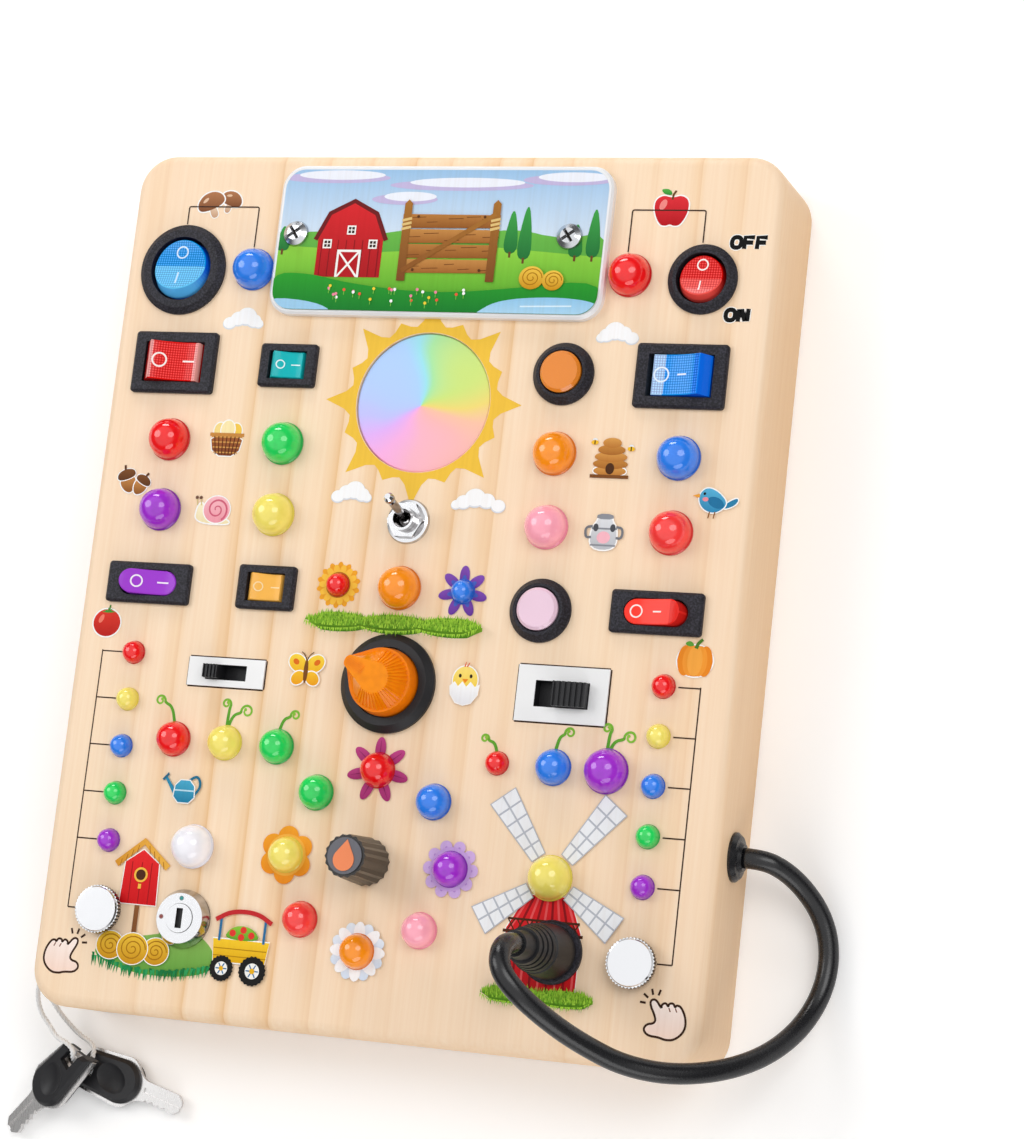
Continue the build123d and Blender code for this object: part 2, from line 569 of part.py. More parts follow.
def dimmer():
    x, y = DIMMER
    pot = rod(x, y, CAVITY_TOP - 9, 8.2, CAVITY_TOP) + rod(x, y, CAVITY_TOP, 3.5, FACE)
    save("dimmer_body", pot - rod(x, y, FACE - 4, 3.0, FACE))
    foot = Pos(0, 0, 0.4) * toothed(DIMMER_FLUTES, DIMMER_R, DIMMER_R - 0.55)
    crown = Pos(0, 0, DIMMER_H - 0.5) * toothed(DIMMER_FLUTES, DIMMER_TOP_R, DIMMER_TOP_R - 0.5)
    place = Pos(x, y, FACE) * Rot(0, 0, DIMMER_ANGLE)
    knob = loft([foot, crown], ruled=True) + rod(0, 0, -3.6, 2.8, 0.4)
    knob += rod(0, 0, DIMMER_H - 0.5, 5.9, DIMMER_H)
    save("dimmer_knob", place * knob)
    drop = Pos(-1.3, 0, DIMMER_H) * extrude(teardrop(3.6, 6.6), 0.3)
    save("dimmer_pointer", place * drop)


# ---- slide switches ----
def slide_body_size(s):
    return s["slot"][0] + 5, s["plate"][1] - 1.5


def slide_switches():
    frames = []
    for name, s in SLIDES.items():
        x, y = s["x"], s["y"]
        slot_l, slot_w = s["slot"]
        frame = block(x, y, FACE, *s["plate"], FACE + SLIDE_PLATE_T)
        frame += block(x, y, FACE - SLIDE_BODY_D, *slide_body_size(s), FACE)
        frames.append(frame - block(x, y, FACE - 4, slot_l, slot_w, FACE + SLIDE_PLATE_T))

        # the carriage fills the bottom of the slot as far as its travel lets it, and carries the grip
        grip_l, grip_w, grip_h = s["grip"]
        grip_x = x + s["end"] * (slot_l - 2 * RUN - grip_l) / 2
        low = FACE - 3.7
        slider = block(grip_x, y, low, grip_l, grip_w, FACE + grip_h)
        pitch = grip_l / s["ribs"]
        for rib in range(s["ribs"]):
            groove_x = grip_x - grip_l / 2 + (rib + 0.5) * pitch
            slider -= block(groove_x, y, FACE + grip_h - 0.6, 0.45 * pitch, grip_w, FACE + grip_h)
        save(f"slider_{name}", slider)
    save("slide_frames", *frames)


# ---- plug, socket, cable and grommet ----
def plug_and_cable():
    x, y = PLUG
    save("plug_socket", turned(x, y, FACE, (0, -20), (7, -20), (7, 0), (SOCKET_R, 0), (SOCKET_R, 1.4),
                               (SOCKET_R - 0.8, SOCKET_H), (PIN_R + 0.25, SOCKET_H),
                               (PIN_R + 0.25, -PIN_L - 0.6), (0, -PIN_L - 0.6)))
    ribs = []
    for step in range(4):
        low = 17.6 + 2.9 * step
        radius = 7.6 - 0.55 * step
        ribs += [(radius - 1.0, low), (radius, low), (radius - 0.3, low + 2.0), (radius - 1.1, low + 2.0)]
    end_r = CABLE_D / 2 + 1.2
    profile = [(0, SOCKET_H - PIN_L), (PIN_R, SOCKET_H - PIN_L), (PIN_R, SOCKET_H + RUN),
               (8.7, SOCKET_H + RUN), (8.7, 6), (7.9, 16.8)] + ribs
    profile += [(end_r, 30.5), (end_r - 0.4, PLUG_END_H), (0, PLUG_END_H)]
    save("plug", turned(x, y, FACE, *profile))
    save("plug_cable", cord(CABLE_ROUTE, CABLE_D, 12, "plug_cable"))
    boss_r = CABLE_D / 2 + 1.5
    grommet = turned(0, 0, 0, (0, -9), (GROMMET_R / 2 + 0.8, -9), (GROMMET_R / 2 + 0.8, 0), (GROMMET_R, 0),
                     (GROMMET_R, 0.8), (GROMMET_R - 1.2, 2.2), (boss_r + 0.3, 2.4),
                     (boss_r - 0.5, GROMMET_REACH), (0, GROMMET_REACH))
    save("cable_grommet", Pos(BOARD_W / 2, GROMMET_Y, GROMMET_Z) * Rot(0, 90, 0) * grommet)


# ---- keys and lanyard ----
def key_pieces():
    """A steel blade with its wide head, and the cover round the head. The hole is at the origin."""
    low, high = KEY_BLADE_LOW, KEY_BLADE_LOW + KEY_BLADE_T
    half, stem, tip = KEY_HEAD_HALF, KEY_STEM_HALF, KEY_TIP
    # a slanted end, straight sides, an S-curve into the stem on each side, and teeth along one edge
    outline = Curve() + Polyline((-7.1, half - 1.6), (-1.1, -half + 1.6), (13, -half))
    outline += Spline((13, -half), (23.2, -stem), tangents=((1, 0), (1, 0)))
    edge = [(23.2, -stem), (tip - 2, -stem), (tip, -1.6), (tip, 1.6), (tip - 2, stem)]
    for step in range(4):
        tooth_x = tip - 4.2 - 2.6 * step
        edge += [(tooth_x, stem - 0.2), (tooth_x - 1.2, stem - 1.2 + 0.3 * (step % 2))]
    outline += Polyline(edge + [(23.2, stem)])
    outline += Spline((23.2, stem), (13, half), tangents=((-1, 0), (-1, 0)))
    outline += Line((13, half), (-7.1, half - 1.6))
    blade = Pos(0, 0, low) * extrude(make_face(outline), KEY_BLADE_T)
    blade -= block((22 + tip) / 2, -0.4, high - 0.6, tip - 22, 1.7, high)
    blade -= block((24 + tip) / 2, 0.9, low, tip - 24, 1.4, low + 0.6)

    side = half - 1.2
    rim = Curve() + Polyline((20.4 - side, side), (-7, side - 1.4), (-1.2, -side + 1.2), (20.4 - side, -side))
    rim += ThreePointArc((20.4 - side, -side), (20.4, 0), (20.4 - side, side))
    cover = extrude(make_face(rim), KEY_COVER_T)
    cover = chamfer(cover.faces().sort_by(Axis.Z)[-1].edges(), 1.2)
    dish = Pos(9.8, 0.2, KEY_COVER_T + 4.6) * Rot(0, 0, 20) * scale(Sphere(1), by=(9.6, 7.2, 5.9))
    hole_l, hole_w = KEY_HOLE
    channels = block(-4, 0, 0, 8 + hole_l, hole_w, low) + block(-4, 0, high, 8 + hole_l, hole_w, KEY_COVER_T)
    hole = block(0, 0, 0, hole_l, hole_w, KEY_COVER_T)
    return blade - hole, cover - dish - channels - hole - blade


def keys_and_lanyard():
    blade, cover = key_pieces()
    for side, key in KEY_PLACES.items():
        place = Pos(*key["at"]) * Rot(0, 0, key["heading"]) * Rot(0, key["pitch"], 0) * Rot(key["roll"], 0, 0)
        for name, piece in (("blade", blade), ("cover", cover)):
            shape = mirror(piece, Plane.XZ) if key["mirrored"] else piece
            save(f"key_{name}_{side}", place * shape)
    save("lanyard", cord(LANYARD_ROUTE, LANYARD_D, 6, "lanyard"))


os.makedirs("parts", exist_ok=True)
wood_body()
lights()
battery_box()
rockers()
plastic_buttons()
metal_buttons()
key_switch()
toggle_switch()
selector()
dimmer()
slide_switches()
plug_and_cable()
keys_and_lanyard()
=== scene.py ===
import math
import random

import bmesh
import bpy
from mathutils import Matrix, Vector


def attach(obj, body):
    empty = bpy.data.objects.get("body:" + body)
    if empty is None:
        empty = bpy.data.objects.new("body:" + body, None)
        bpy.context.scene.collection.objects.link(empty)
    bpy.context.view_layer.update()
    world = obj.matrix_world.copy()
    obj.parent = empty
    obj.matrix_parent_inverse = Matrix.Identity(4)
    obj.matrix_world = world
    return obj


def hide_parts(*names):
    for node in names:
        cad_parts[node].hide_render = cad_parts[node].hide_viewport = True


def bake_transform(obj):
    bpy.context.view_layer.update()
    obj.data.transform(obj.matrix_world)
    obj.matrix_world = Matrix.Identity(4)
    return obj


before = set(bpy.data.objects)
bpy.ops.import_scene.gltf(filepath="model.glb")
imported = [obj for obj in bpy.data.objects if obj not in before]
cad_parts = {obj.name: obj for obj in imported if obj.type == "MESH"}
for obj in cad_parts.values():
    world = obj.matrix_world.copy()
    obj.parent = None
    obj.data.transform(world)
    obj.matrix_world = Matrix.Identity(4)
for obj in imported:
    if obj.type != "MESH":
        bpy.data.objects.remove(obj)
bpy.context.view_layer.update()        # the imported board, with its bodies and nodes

# everything below is in metres; the prints are drawn in millimetres on the face and scaled once
mm = 0.001
faceZ = 37.0 * mm
keyMiddle = (-63.0, -115.8)
random.seed(7)


def linear(code, alpha=1.0):
    # "f5c842" to the linear colour that shaders take
    parts = [int(code[i:i + 2], 16) / 255 for i in (0, 2, 4)]
    return tuple(p / 12.92 if p <= 0.04045 else ((p + 0.055) / 1.055) ** 2.4 for p in parts) + (alpha,)


def between(first, second, share):
    return tuple(a + (b - a) * share for a, b in zip(first, second))


def polar(x, y, reach, turn):
    # the point at a distance and an angle in degrees from a middle
    return x + reach * math.cos(math.radians(turn)), y + reach * math.sin(math.radians(turn))


print("camera, floor and lamps")
cameraLook = {
    "place": (0.3882, -0.1573, 0.9592),
    "right": (0.93557, 0.11200, -0.33492),
    "up": (-0.04819, 0.97999, 0.19312),
    "back": (0.34984, -0.16454, 0.92225),
    "lens": 96.95,
}
viewRight, viewUp, viewBack = (Vector(cameraLook[side]) for side in ("right", "up", "back"))


def feed(tree, sockets, values):
    # each value is a number, a colour, a vector or another node's socket
    for socket, value in zip(sockets, values):
        if hasattr(value, "is_output"):
            tree.links.new(value, socket)
        else:
            socket.default_value = value


def mathNode(tree, kind, first, second):
    node = tree.nodes.new("ShaderNodeMath")
    node.operation = kind
    feed(tree, node.inputs, (first, second))
    return node.outputs[0]


def turnTo(right, up, back, place):
    turn = Matrix((right, up, back)).transposed().to_4x4()
    turn.translation = place
    return turn


def addCamera(look):
    data = bpy.data.cameras.new("camera")
    data.lens = look["lens"]
    data.sensor_width = 36
    camera = bpy.data.objects.new("camera", data)
    camera.matrix_world = turnTo(viewRight, viewUp, viewBack, look["place"])
    bpy.context.scene.collection.objects.link(camera)
    bpy.context.scene.camera = camera


# lamps stand round the board in the camera's own directions: right, up, back
lampLook = {
    "leftRound": dict(toward=(-0.85, 0.38, 0.37), away=1.2, size=(0.62, 0.80), power=4.0),
    "rightRound": dict(toward=(0.29, 0.37, 0.88), away=1.15, size=(0.62, 0.80), power=3.6),
    "topStrip": dict(toward=(-0.24, 0.97, 0.10), away=1.0, size=(0.50, 0.22), power=2.2),
    "lowFill": dict(toward=(0.10, -0.80, 0.60), away=1.1, size=(1.0, 0.50), power=3.0),
}


def addLamp(name, look):
    data = bpy.data.lights.new(name, "AREA")
    data.shape = "ELLIPSE"
    data.size, data.size_y = look["size"]
    data.energy = look["power"]
    lamp = bpy.data.objects.new(name, data)
    side, rise, back = look["toward"]
    away = (viewRight * side + viewUp * rise + viewBack * back).normalized()
    lamp.location = away * look["away"]
    lamp.rotation_euler = away.to_track_quat("Z", "Y").to_euler()
    bpy.context.scene.collection.objects.link(lamp)


worldLook = {"onSurfaces": 0.47, "below": 0.9, "horizon": 0.10, "horizonFrom": 0.02, "horizonTo": 0.42,
             "soften": 0.22}


def addWorld(look):
    # plain white where it is looked at, softer where it lights the board, dark round the horizon in gloss
    world = bpy.data.worlds.new("studio")
    world.use_nodes = True
    tree = world.node_tree
    plain = tree.nodes["Background"]
    plain.inputs["Color"].default_value = (1, 1, 1, 1)
    rays = tree.nodes.new("ShaderNodeLightPath")
    coords = tree.nodes.new("ShaderNodeTexCoord")
    split = tree.nodes.new("ShaderNodeSeparateXYZ")
    tree.links.new(coords.outputs["Generated"], split.inputs["Vector"])
    band = tree.nodes.new("ShaderNodeValToRGB")
    stops = ((0.0, look["below"]), (look["horizonFrom"], look["horizon"]),
             (look["horizonTo"], look["horizon"]), (look["horizonTo"] + look["soften"], 1.0))
    while len(band.color_ramp.elements) < len(stops):
        band.color_ramp.elements.new(0.5)
    for element, (at, grey) in zip(band.color_ramp.elements, stops):
        element.position = at
        element.color = (grey, grey, grey, 1)
    tree.links.new(split.outputs["Z"], band.inputs["Fac"])
    glossy = rays.outputs["Is Glossy Ray"]
    seen = mathNode(tree, "MAXIMUM", rays.outputs["Is Camera Ray"], rays.outputs["Is Transmission Ray"])
    share = mathNode(tree, "MAXIMUM", seen, mathNode(tree, "MULTIPLY", glossy, band.outputs["Color"]))
    lit = mathNode(tree, "SUBTRACT", 1.0, mathNode(tree, "MAXIMUM", seen, glossy))
    level = mathNode(tree, "ADD", share, mathNode(tree, "MULTIPLY", lit, look["onSurfaces"]))
    tree.links.new(level, plain.inputs["Strength"])
    bpy.context.scene.world = world


floorLook = {"reach": 4.0, "below": 0.0003, "colour": (0.97, 0.965, 0.96, 1), "rough": 0.9, "specular": 0.1,
             "lift": 0.16}


def addFloor(look):
    reach, low = look["reach"], -look["below"]
    data = bpy.data.meshes.new("floor")
    corners = [(-reach, -reach, low), (reach, -reach, low), (reach, reach, low), (-reach, reach, low)]
    data.from_pydata(corners, [], [(0, 1, 2, 3)])
    floor = bpy.data.objects.new("floor", data)
    material = bpy.data.materials.new("floorPaper")
    material.use_nodes = True
    tree = material.node_tree
    shader = tree.nodes["Principled BSDF"]
    shader.inputs["Base Color"].default_value = look["colour"]
    shader.inputs["Roughness"].default_value = look["rough"]
    shader.inputs["Specular IOR Level"].default_value = look["specular"]
    rays = tree.nodes.new("ShaderNodeLightPath")
    shader.inputs["Emission Color"].default_value = (1, 1, 1, 1)
    tree.links.new(mathNode(tree, "MULTIPLY", rays.outputs["Is Camera Ray"], look["lift"]),
                   shader.inputs["Emission Strength"])
    data.materials.append(material)
    bpy.context.scene.collection.objects.link(floor)


addCamera(cameraLook)
for lampName, lampValues in lampLook.items():
    addLamp(lampName, lampValues)
addWorld(worldLook)
addFloor(floorLook)
bpy.context.scene.view_settings.view_transform = "Standard"


print("materials")


class Finish:
    # a Principled material with its nodes at hand
    def __init__(self, name, colour, rough=0.5, **sockets):
        self.material = bpy.data.materials.new(name)
        self.material.use_nodes = True
        self.tree = self.material.node_tree
        self.shader = self.tree.nodes["Principled BSDF"]
        self.shader.inputs["Base Color"].default_value = linear(colour)
        self.shader.inputs["Roughness"].default_value = rough
        for socket, value in sockets.items():
            self.shader.inputs[socket.replace("_", " ")].default_value = value

    def node(self, kind, **values):
        # a node with the named inputs set or linked
        node = self.tree.nodes.new("ShaderNode" + kind)
        for socket, value in values.items():
            feed(self.tree, [node.inputs[socket.replace("_", " ")]], [value])
        return node

    def coords(self, output="Object"):
        return self.node("TexCoord").outputs[output]

    def axis(self, output, axis):
        return self.node("SeparateXYZ", Vector=self.coords(output)).outputs[axis]

    def place(self, scale):
        return self.node("Mapping", Vector=self.coords(), Scale=scale).outputs["Vector"]

    def noise(self, scale, detail=3.0, rough=0.5):
        noise = self.node("TexNoise", Vector=self.place(scale), Scale=1.0, Detail=detail, Roughness=rough)
        return noise.outputs["Fac"]

    def ramp(self, value, *stops):
        # a stop's colour is a code, or a number for a grey
        ramp = self.node("ValToRGB", Fac=value)
        elements = ramp.color_ramp.elements
        while len(elements) < len(stops):
            elements.new(0.5)
        for element, (at, colour) in zip(elements, stops):
            element.position = at
            element.color = linear(colour) if isinstance(colour, str) else (colour, colour, colour, 1)
        return ramp.outputs["Color"]

    def mix(self, first, second, share, kind="MIX"):
        mix = self.tree.nodes.new("ShaderNodeMix")
        mix.data_type = "RGBA"
        mix.blend_type = kind
        feed(self.tree, (mix.inputs[0], mix.inputs[6], mix.inputs[7]), (share, first, second))
        return mix.outputs[2]

    def vector(self, kind, *values):
        node = self.tree.nodes.new("ShaderNodeVectorMath")
        node.operation = kind
        feed(self.tree, node.inputs, values)
        return node

    def spread(self, value, start=0.0, end=1.0, low=0.0, high=1.0):
        # a value between start and end, stretched to run from low to high
        spread = self.node("MapRange", Value=value, From_Min=start, From_Max=end, To_Min=low, To_Max=high)
        return spread.outputs["Result"]

    def tint(self):
        # the colour that a mesh carries itself
        tint = self.tree.nodes.new("ShaderNodeAttribute")
        tint.attribute_name = "tint"
        return tint

    def bump(self, value, strength, depth):
        bump = self.node("Bump", Height=value, Strength=strength, Distance=depth)
        self.tree.links.new(bump.outputs["Normal"], self.shader.inputs["Normal"])

    def paint(self, colour, glow=None):
        self.tree.links.new(colour, self.shader.inputs["Base Color"])
        if glow is not None:
            self.tree.links.new(colour, self.shader.inputs["Emission Color"])
            feed(self.tree, [self.shader.inputs["Emission Strength"]], [glow])

    def roughen(self, value, low, high):
        self.tree.links.new(self.spread(value, low=low, high=high), self.shader.inputs["Roughness"])


def pineFinish():
    look = {"pale": "fbe1c3", "warm": "f3cfa3", "honey": "e8b982", "blush": "f7d9bd", "fibre": "f6ebdd",
            "edge": "f8efe2", "ringEvery": 0.015, "rough": 0.45}
    pine = Finish("pine", look["pale"], look["rough"], Specular_IOR_Level=0.3)
    # growth rings cut lengthwise: wavy honey streaks that fade into pale wood
    rings = pine.node("TexWave", Vector=pine.place((1.0, 0.055, 0.35)), Scale=0.314 / look["ringEvery"],
                      Distortion=3.2, Detail=3.0, Detail_Scale=1.6, Detail_Roughness=0.6)
    rings.wave_profile = "SAW"
    ringTint = pine.ramp(rings.outputs["Fac"], (0.0, look["warm"]), (0.12, look["pale"]),
                         (0.5, look["pale"]), (0.88, look["warm"]), (1.0, look["honey"]))
    patches = pine.ramp(pine.noise((26, 2.6, 9)), (0.38, 0.1), (0.62, 0.95))
    base = pine.mix(ringTint, linear(look["pale"]), patches)
    flushed = pine.ramp(pine.noise((9, 1.6, 6), detail=2), (0.4, 0), (0.75, 0.6))
    base = pine.mix(base, linear(look["blush"]), flushed)
    fibres = pine.noise((700, 14, 700), detail=4, rough=0.6)
    base = pine.mix(base, pine.ramp(fibres, (0.3, look["fibre"]), (0.7, "ffffff")), 0.5, "MULTIPLY")
    # painted shade: faces that turn away from the top, the board's sides and rounded edges, are darkened a
    # little, partly also for their end grain
    paintedFacingLight = pine.ramp(pine.axis("Normal", "Z"), (0.1, look["edge"]), (0.9, "ffffff"))
    pine.paint(pine.mix(base, paintedFacingLight, 1.0, "MULTIPLY"))
    pine.bump(fibres, 0.12, 0.0002)
    return pine.material


def plasticFinish(name, colour, rough=0.35, grain=1800, depth=0.00006, speckle=None, **sockets):
    # moulded plastic: a fine grain and a slight drift of tone, with paler specks if asked
    finish = Finish(name, colour, rough, **sockets)
    tone = finish.noise((60, 60, 60), detail=1)
    dark = tuple(0.86 * part for part in linear(colour)[:3]) + (1.0,)
    colours = finish.mix(linear(colour), dark, tone)
    grains = finish.noise((grain, grain, grain), detail=2)
    if speckle:
        colours = finish.mix(colours, linear(speckle), finish.ramp(grains, (0.42, 0), (0.66, 1)))
    finish.paint(colours)
    finish.bump(grains, 0.35, depth)
    finish.roughen(grains, max(rough - 0.05, 0.02), rough + 0.05)
    return finish.material


def glossFinish(name, deepToneAndFootShade, bright, glow=0.10, rough=0.06, coat=0.5, tall=0.008, crownHighlight=None, shine=0.5):
    # clear tinted plastic: painted shade deepens the foot and a painted highlight brightens the crown, with
    # soft random clouds of the deeper tone
    finish = Finish(name, bright, rough, Coat_Weight=coat, Coat_Roughness=0.03, IOR=1.49,
                    Specular_IOR_Level=shine)
    rise = finish.spread(finish.axis("Object", "Z"), faceZ, faceZ + tall)
    tint = finish.ramp(rise, (0.0, deepToneAndFootShade), (0.42, bright), (1.0, crownHighlight or bright))
    shade = finish.ramp(finish.noise((320, 320, 320), detail=1), (0.45, 0), (0.9, 0.3))
    finish.paint(finish.mix(tint, linear(deepToneAndFootShade), shade))
    # a faint painted glow in the plastic's own colour stands in for light passing through it
    finish.shader.inputs["Emission Color"].default_value = linear(bright)
    finish.shader.inputs["Emission Strength"].default_value = glow
    return finish.material


def metalFinish(name, colour, rough, grain=(40, 40, 2600), spread=0.08):
    finish = Finish(name, colour, rough, Metallic=1.0)
    marks = finish.noise(grain, detail=2)
    finish.roughen(marks, max(rough - spread, 0.02), rough + spread)
    finish.bump(marks, 0.08, 0.00003)
    return finish.material


def chromeFinish(name, side, top, rough):
    # painted reflection: bright where it faces out of the board, with painted shade in streaks down its
    # sides
    finish = Finish(name, top, rough, Metallic=1.0)
    streaks = finish.noise((420, 420, 60), detail=2)
    sides = finish.ramp(streaks, (0.35, side[0]), (0.65, side[1]))
    paintedFacingLight = finish.ramp(finish.axis("Normal", "Z"), (0.25, 0), (0.8, 1))
    finish.paint(finish.mix(sides, linear(top), paintedFacingLight))
    finish.roughen(streaks, rough, rough + 0.06)
    return finish.material


def capFinish():
    # rocker caps take their tint from the mesh, which paints highlights, reflections and shade into it; its
    # alpha says clear with a grid inside, plain, or a mark, and also sets a painted glow
    look = {"pitch": 0.86 * mm, "rough": 0.14, "glow": 0.22, "dotWhite": 0.05,
            "lattice": (0.66, 0.52, 0.62, 1)}
    finish = Finish("rockerCap", "ffffff", look["rough"], Specular_IOR_Level=0.16)
    own = finish.tint()
    tint, alpha = own.outputs["Color"], own.outputs["Alpha"]
    cells = finish.tree.nodes.new("ShaderNodeTexVoronoi")
    cells.voronoi_dimensions = "2D"
    sockets = [cells.inputs[name] for name in ("Scale", "Randomness", "Vector")]
    feed(finish.tree, sockets, (1 / look["pitch"], 0.0, finish.place((1, 1, 1))))
    spots = finish.ramp(cells.outputs["Distance"], (0.22, 1), (0.48, 0))
    light = finish.mix(tint, (1, 1, 1, 1), look["dotWhite"])
    dark = finish.mix(tint, look["lattice"], 1.0, "MULTIPLY")
    clear = finish.ramp(alpha, (0.7, 0), (0.8, 1))
    colour = finish.mix(tint, finish.mix(dark, light, spots), clear)
    # a painted glow, strongest in clear caps, weaker in plain ones, none in the marks
    finish.paint(colour, mathNode(finish.tree, "MULTIPLY", alpha, look["glow"]))
    finish.bump(finish.noise((1500, 1500, 1500), detail=1), 0.15, 0.00003)
    return finish.material


def knobFinish():
    # dark sides under a grey top; streaks along the sides paint shade in the flute valleys and light on the
    # ridges between them
    look = {"side": "1f1b19", "valley": "080605", "ridge": "2a201b", "top": "5c5c64", "topHeight": 0.0562}
    finish = Finish("knobGrey", look["side"], 0.3, Coat_Weight=0.2, Coat_Roughness=0.15)
    above = mathNode(finish.tree, "GREATER_THAN", finish.axis("Object", "Z"), look["topHeight"])
    side = finish.ramp(finish.noise((500, 500, 30), detail=2), (0.42, look["valley"]),
                       (0.75, look["ridge"]))
    finish.paint(finish.mix(side, linear(look["top"]), above))
    finish.bump(finish.noise((1800, 1800, 1800), detail=2), 0.25, 0.00005)
    return finish.material


def opalFinish():
    # a frosted disc lit from behind in soft colours that run round its centre and pale towards it
    look = {"centre": (0.0, 0.0622, 0.0), "glow": 0.13, "wander": 0.016, "level": 0.94, "middle": "e6dcec",
            "middleReach": 0.013, "middleShare": 0.75}
    finish = Finish("sunOpal", "f4d8f0", 0.45, Specular_IOR_Level=0.25)
    around = finish.vector("SUBTRACT", finish.coords(), look["centre"])
    # the borders between the colours wander a little
    drift = finish.node("TexNoise", Vector=finish.coords(), Scale=55.0, Detail=0.0)
    drift = finish.vector("SUBTRACT", drift.outputs["Color"], (0.5, 0.5, 0.5))
    wander = (look["wander"],) * 3
    nudged = finish.vector("MULTIPLY_ADD", drift.outputs[0], wander, around.outputs[0]).outputs[0]
    turned = finish.node("TexGradient", Vector=nudged)
    turned.gradient_type = "RADIAL"
    # the turn starts at the left and runs anticlockwise through the bottom
    tint = finish.ramp(turned.outputs["Fac"], (0.0, "b6c8fa"), (0.05, "c0c0fa"), (0.10, "e0aef2"),
                       (0.16, "f4aee0"), (0.24, "f6b4c6"), (0.36, "f6b6b4"), (0.46, "f5bfa4"),
                       (0.52, "ecd674"), (0.60, "cbe27c"), (0.70, "a8e4a4"), (0.77, "9ce0ec"),
                       (0.86, "acd0f8"), (1.0, "b6c8fa"))
    away = finish.vector("LENGTH", nudged).outputs["Value"]
    near = finish.spread(away, 0.0, look["middleReach"], look["middleShare"], 0.0)
    tint = finish.mix(tint, linear(look["middle"]), near)
    finish.paint(finish.mix(tint, (look["level"],) * 3 + (1,), 1.0, "MULTIPLY"), look["glow"])
    finish.bump(finish.noise((700, 700, 700), detail=2), 0.1, 0.00005)
    return finish.material


def inkFinish():
    # printed ink takes its tint from the drawing and shows a trace of the grain below
    finish = Finish("printedInk", "ffffff", 0.5, Specular_IOR_Level=0.12)
    fibres = finish.noise((900, 22, 900), detail=3)
    wear = finish.ramp(fibres, (0.3, "f2ece6"), (0.6, "ffffff"))
    finish.paint(finish.mix(finish.tint().outputs["Color"], wear, 0.35, "MULTIPLY"))
    finish.bump(fibres, 0.08, 0.0001)
    return finish.material


# each pair is the deeper tone, painted as shade at a cap's foot, and the cap's colour
capColours = {
    "red": ("a8000c", "ee1216"), "coral": ("bc1c1e", "f43a38"), "orange": ("c25600", "f8900e"),
    "yellow": ("cdb834", "f2e16a"), "green": ("068034", "20d45c"), "blue": ("0b44a6", "2a7eea"),
    "purple": ("5f0f88", "a02ccc"), "pink": ("dc7088", "fca6b8"), "white": ("cfccd8", "f2f0f6"),
}
rockerColours = {
    "red": ("8f0010", "e3121e"), "blue": ("03429c", "1d86ea"), "teal": ("067f8a", "1fb3b8"),
    "purple": ("5b2a96", "8f50c8"), "amber": ("c47812", "f0ab48"),
}

finishes = {
    "pine": pineFinish(),
    "back_board": plasticFinish("backBoard", "efe5d3", 0.5, grain=400),
    "cover_print": plasticFinish("coverWhite", "f4f4f6", 0.25, Coat_Weight=0.4),
    "screw_steel": chromeFinish("screwSteel", ("8a8788", "b9b9bc"), "d8dade", 0.16),
    "tray_plastic": plasticFinish("trayPlastic", "2b2b2d"),
    "cell_jacket": plasticFinish("cellJacket", "3a5f8f", 0.3),
    "contact_metal": metalFinish("contactMetal", "b9b4a6", 0.3),
    "board_green": plasticFinish("lampBoard", "1f6b3c", 0.4),
    "chip_white": plasticFinish("lampChip", "f2f0e6", 0.3),
    "sun_opal": opalFinish(),
    "black_plastic": plasticFinish("blackPlastic", "1c1b20", 0.5, grain=1700, depth=0.0002,
                                   speckle="37363f", Specular_IOR_Level=0.22),
    "matt_black": plasticFinish("mattBlack", "1b1b1e", 0.45, grain=2200, depth=0.00012,
                                Specular_IOR_Level=0.35),
    "button_orange": plasticFinish("buttonOrange", "f08a22", 0.18, Coat_Weight=0.5),
    "button_pink": plasticFinish("buttonPink", "f6d3e6", 0.18, Coat_Weight=0.5),
    "chrome": chromeFinish("chrome", ("6b6664", "b4b1b1"), "f1f2f5", 0.08),
    # the selector knob is painted with shade at its foot, a highlight on its crown and a faint glow
    "knob_orange": glossFinish("knobOrange", "bc5000", "ee7a00", 0.05, rough=0.07, coat=0.0, tall=0.015,
                               crownHighlight="f9930e", shine=0.22),
    "knob_grey": knobFinish(),
    "plate_white": plasticFinish("plateWhite", "f7f7f7", 0.3),
    "cable_black": plasticFinish("cableBlack", "17171a", 0.27, grain=1500),
    "cord_white": plasticFinish("cordWhite", "f1f1f1", 0.75, grain=3000),
    "key_steel": metalFinish("keySteel", "d9d7d6", 0.28, grain=(1600, 120, 1600)),
}
for hue, (deepToneAndShadeTint, brightTint) in capColours.items():
    finishes["clear_" + hue] = glossFinish("clear" + hue.title(), deepToneAndShadeTint, brightTint)
for hue, (deepToneAndShadeTint, brightTint) in rockerColours.items():
    finishes["rocker_" + hue] = glossFinish("rocker" + hue.title(), deepToneAndShadeTint, brightTint)
ink = inkFinish()
capPlastic = capFinish()

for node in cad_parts.values():
    for place in node.material_slots:
        wanted = place.material.name.split(".")[0]
        if wanted in finishes:
            place.material = finishes[wanted]
        else:
            print("no finish for", wanted)
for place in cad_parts["dimmer_pointer"].material_slots:
    place.material = plasticFinish("pointerOrange", "f68a54", 0.4)


def addPiece(name, mesh, material, body="board"):
    piece = bpy.data.objects.new(name, mesh)
    bpy.context.scene.collection.objects.link(piece)
    if material:
        mesh.materials.append(material)
    if body:
        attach(piece, body)
    return piece


def flatMesh(name, verts, faces):
    mesh = bpy.data.meshes.new(name)
    mesh.from_pydata(verts, [], faces)
    mesh.update()
    return mesh


def smoothMesh(name, verts, faces):
    mesh = flatMesh(name, verts, faces)
    mesh.polygons.foreach_set("use_smooth", [True] * len(mesh.polygons))
    mesh.update()
    return mesh


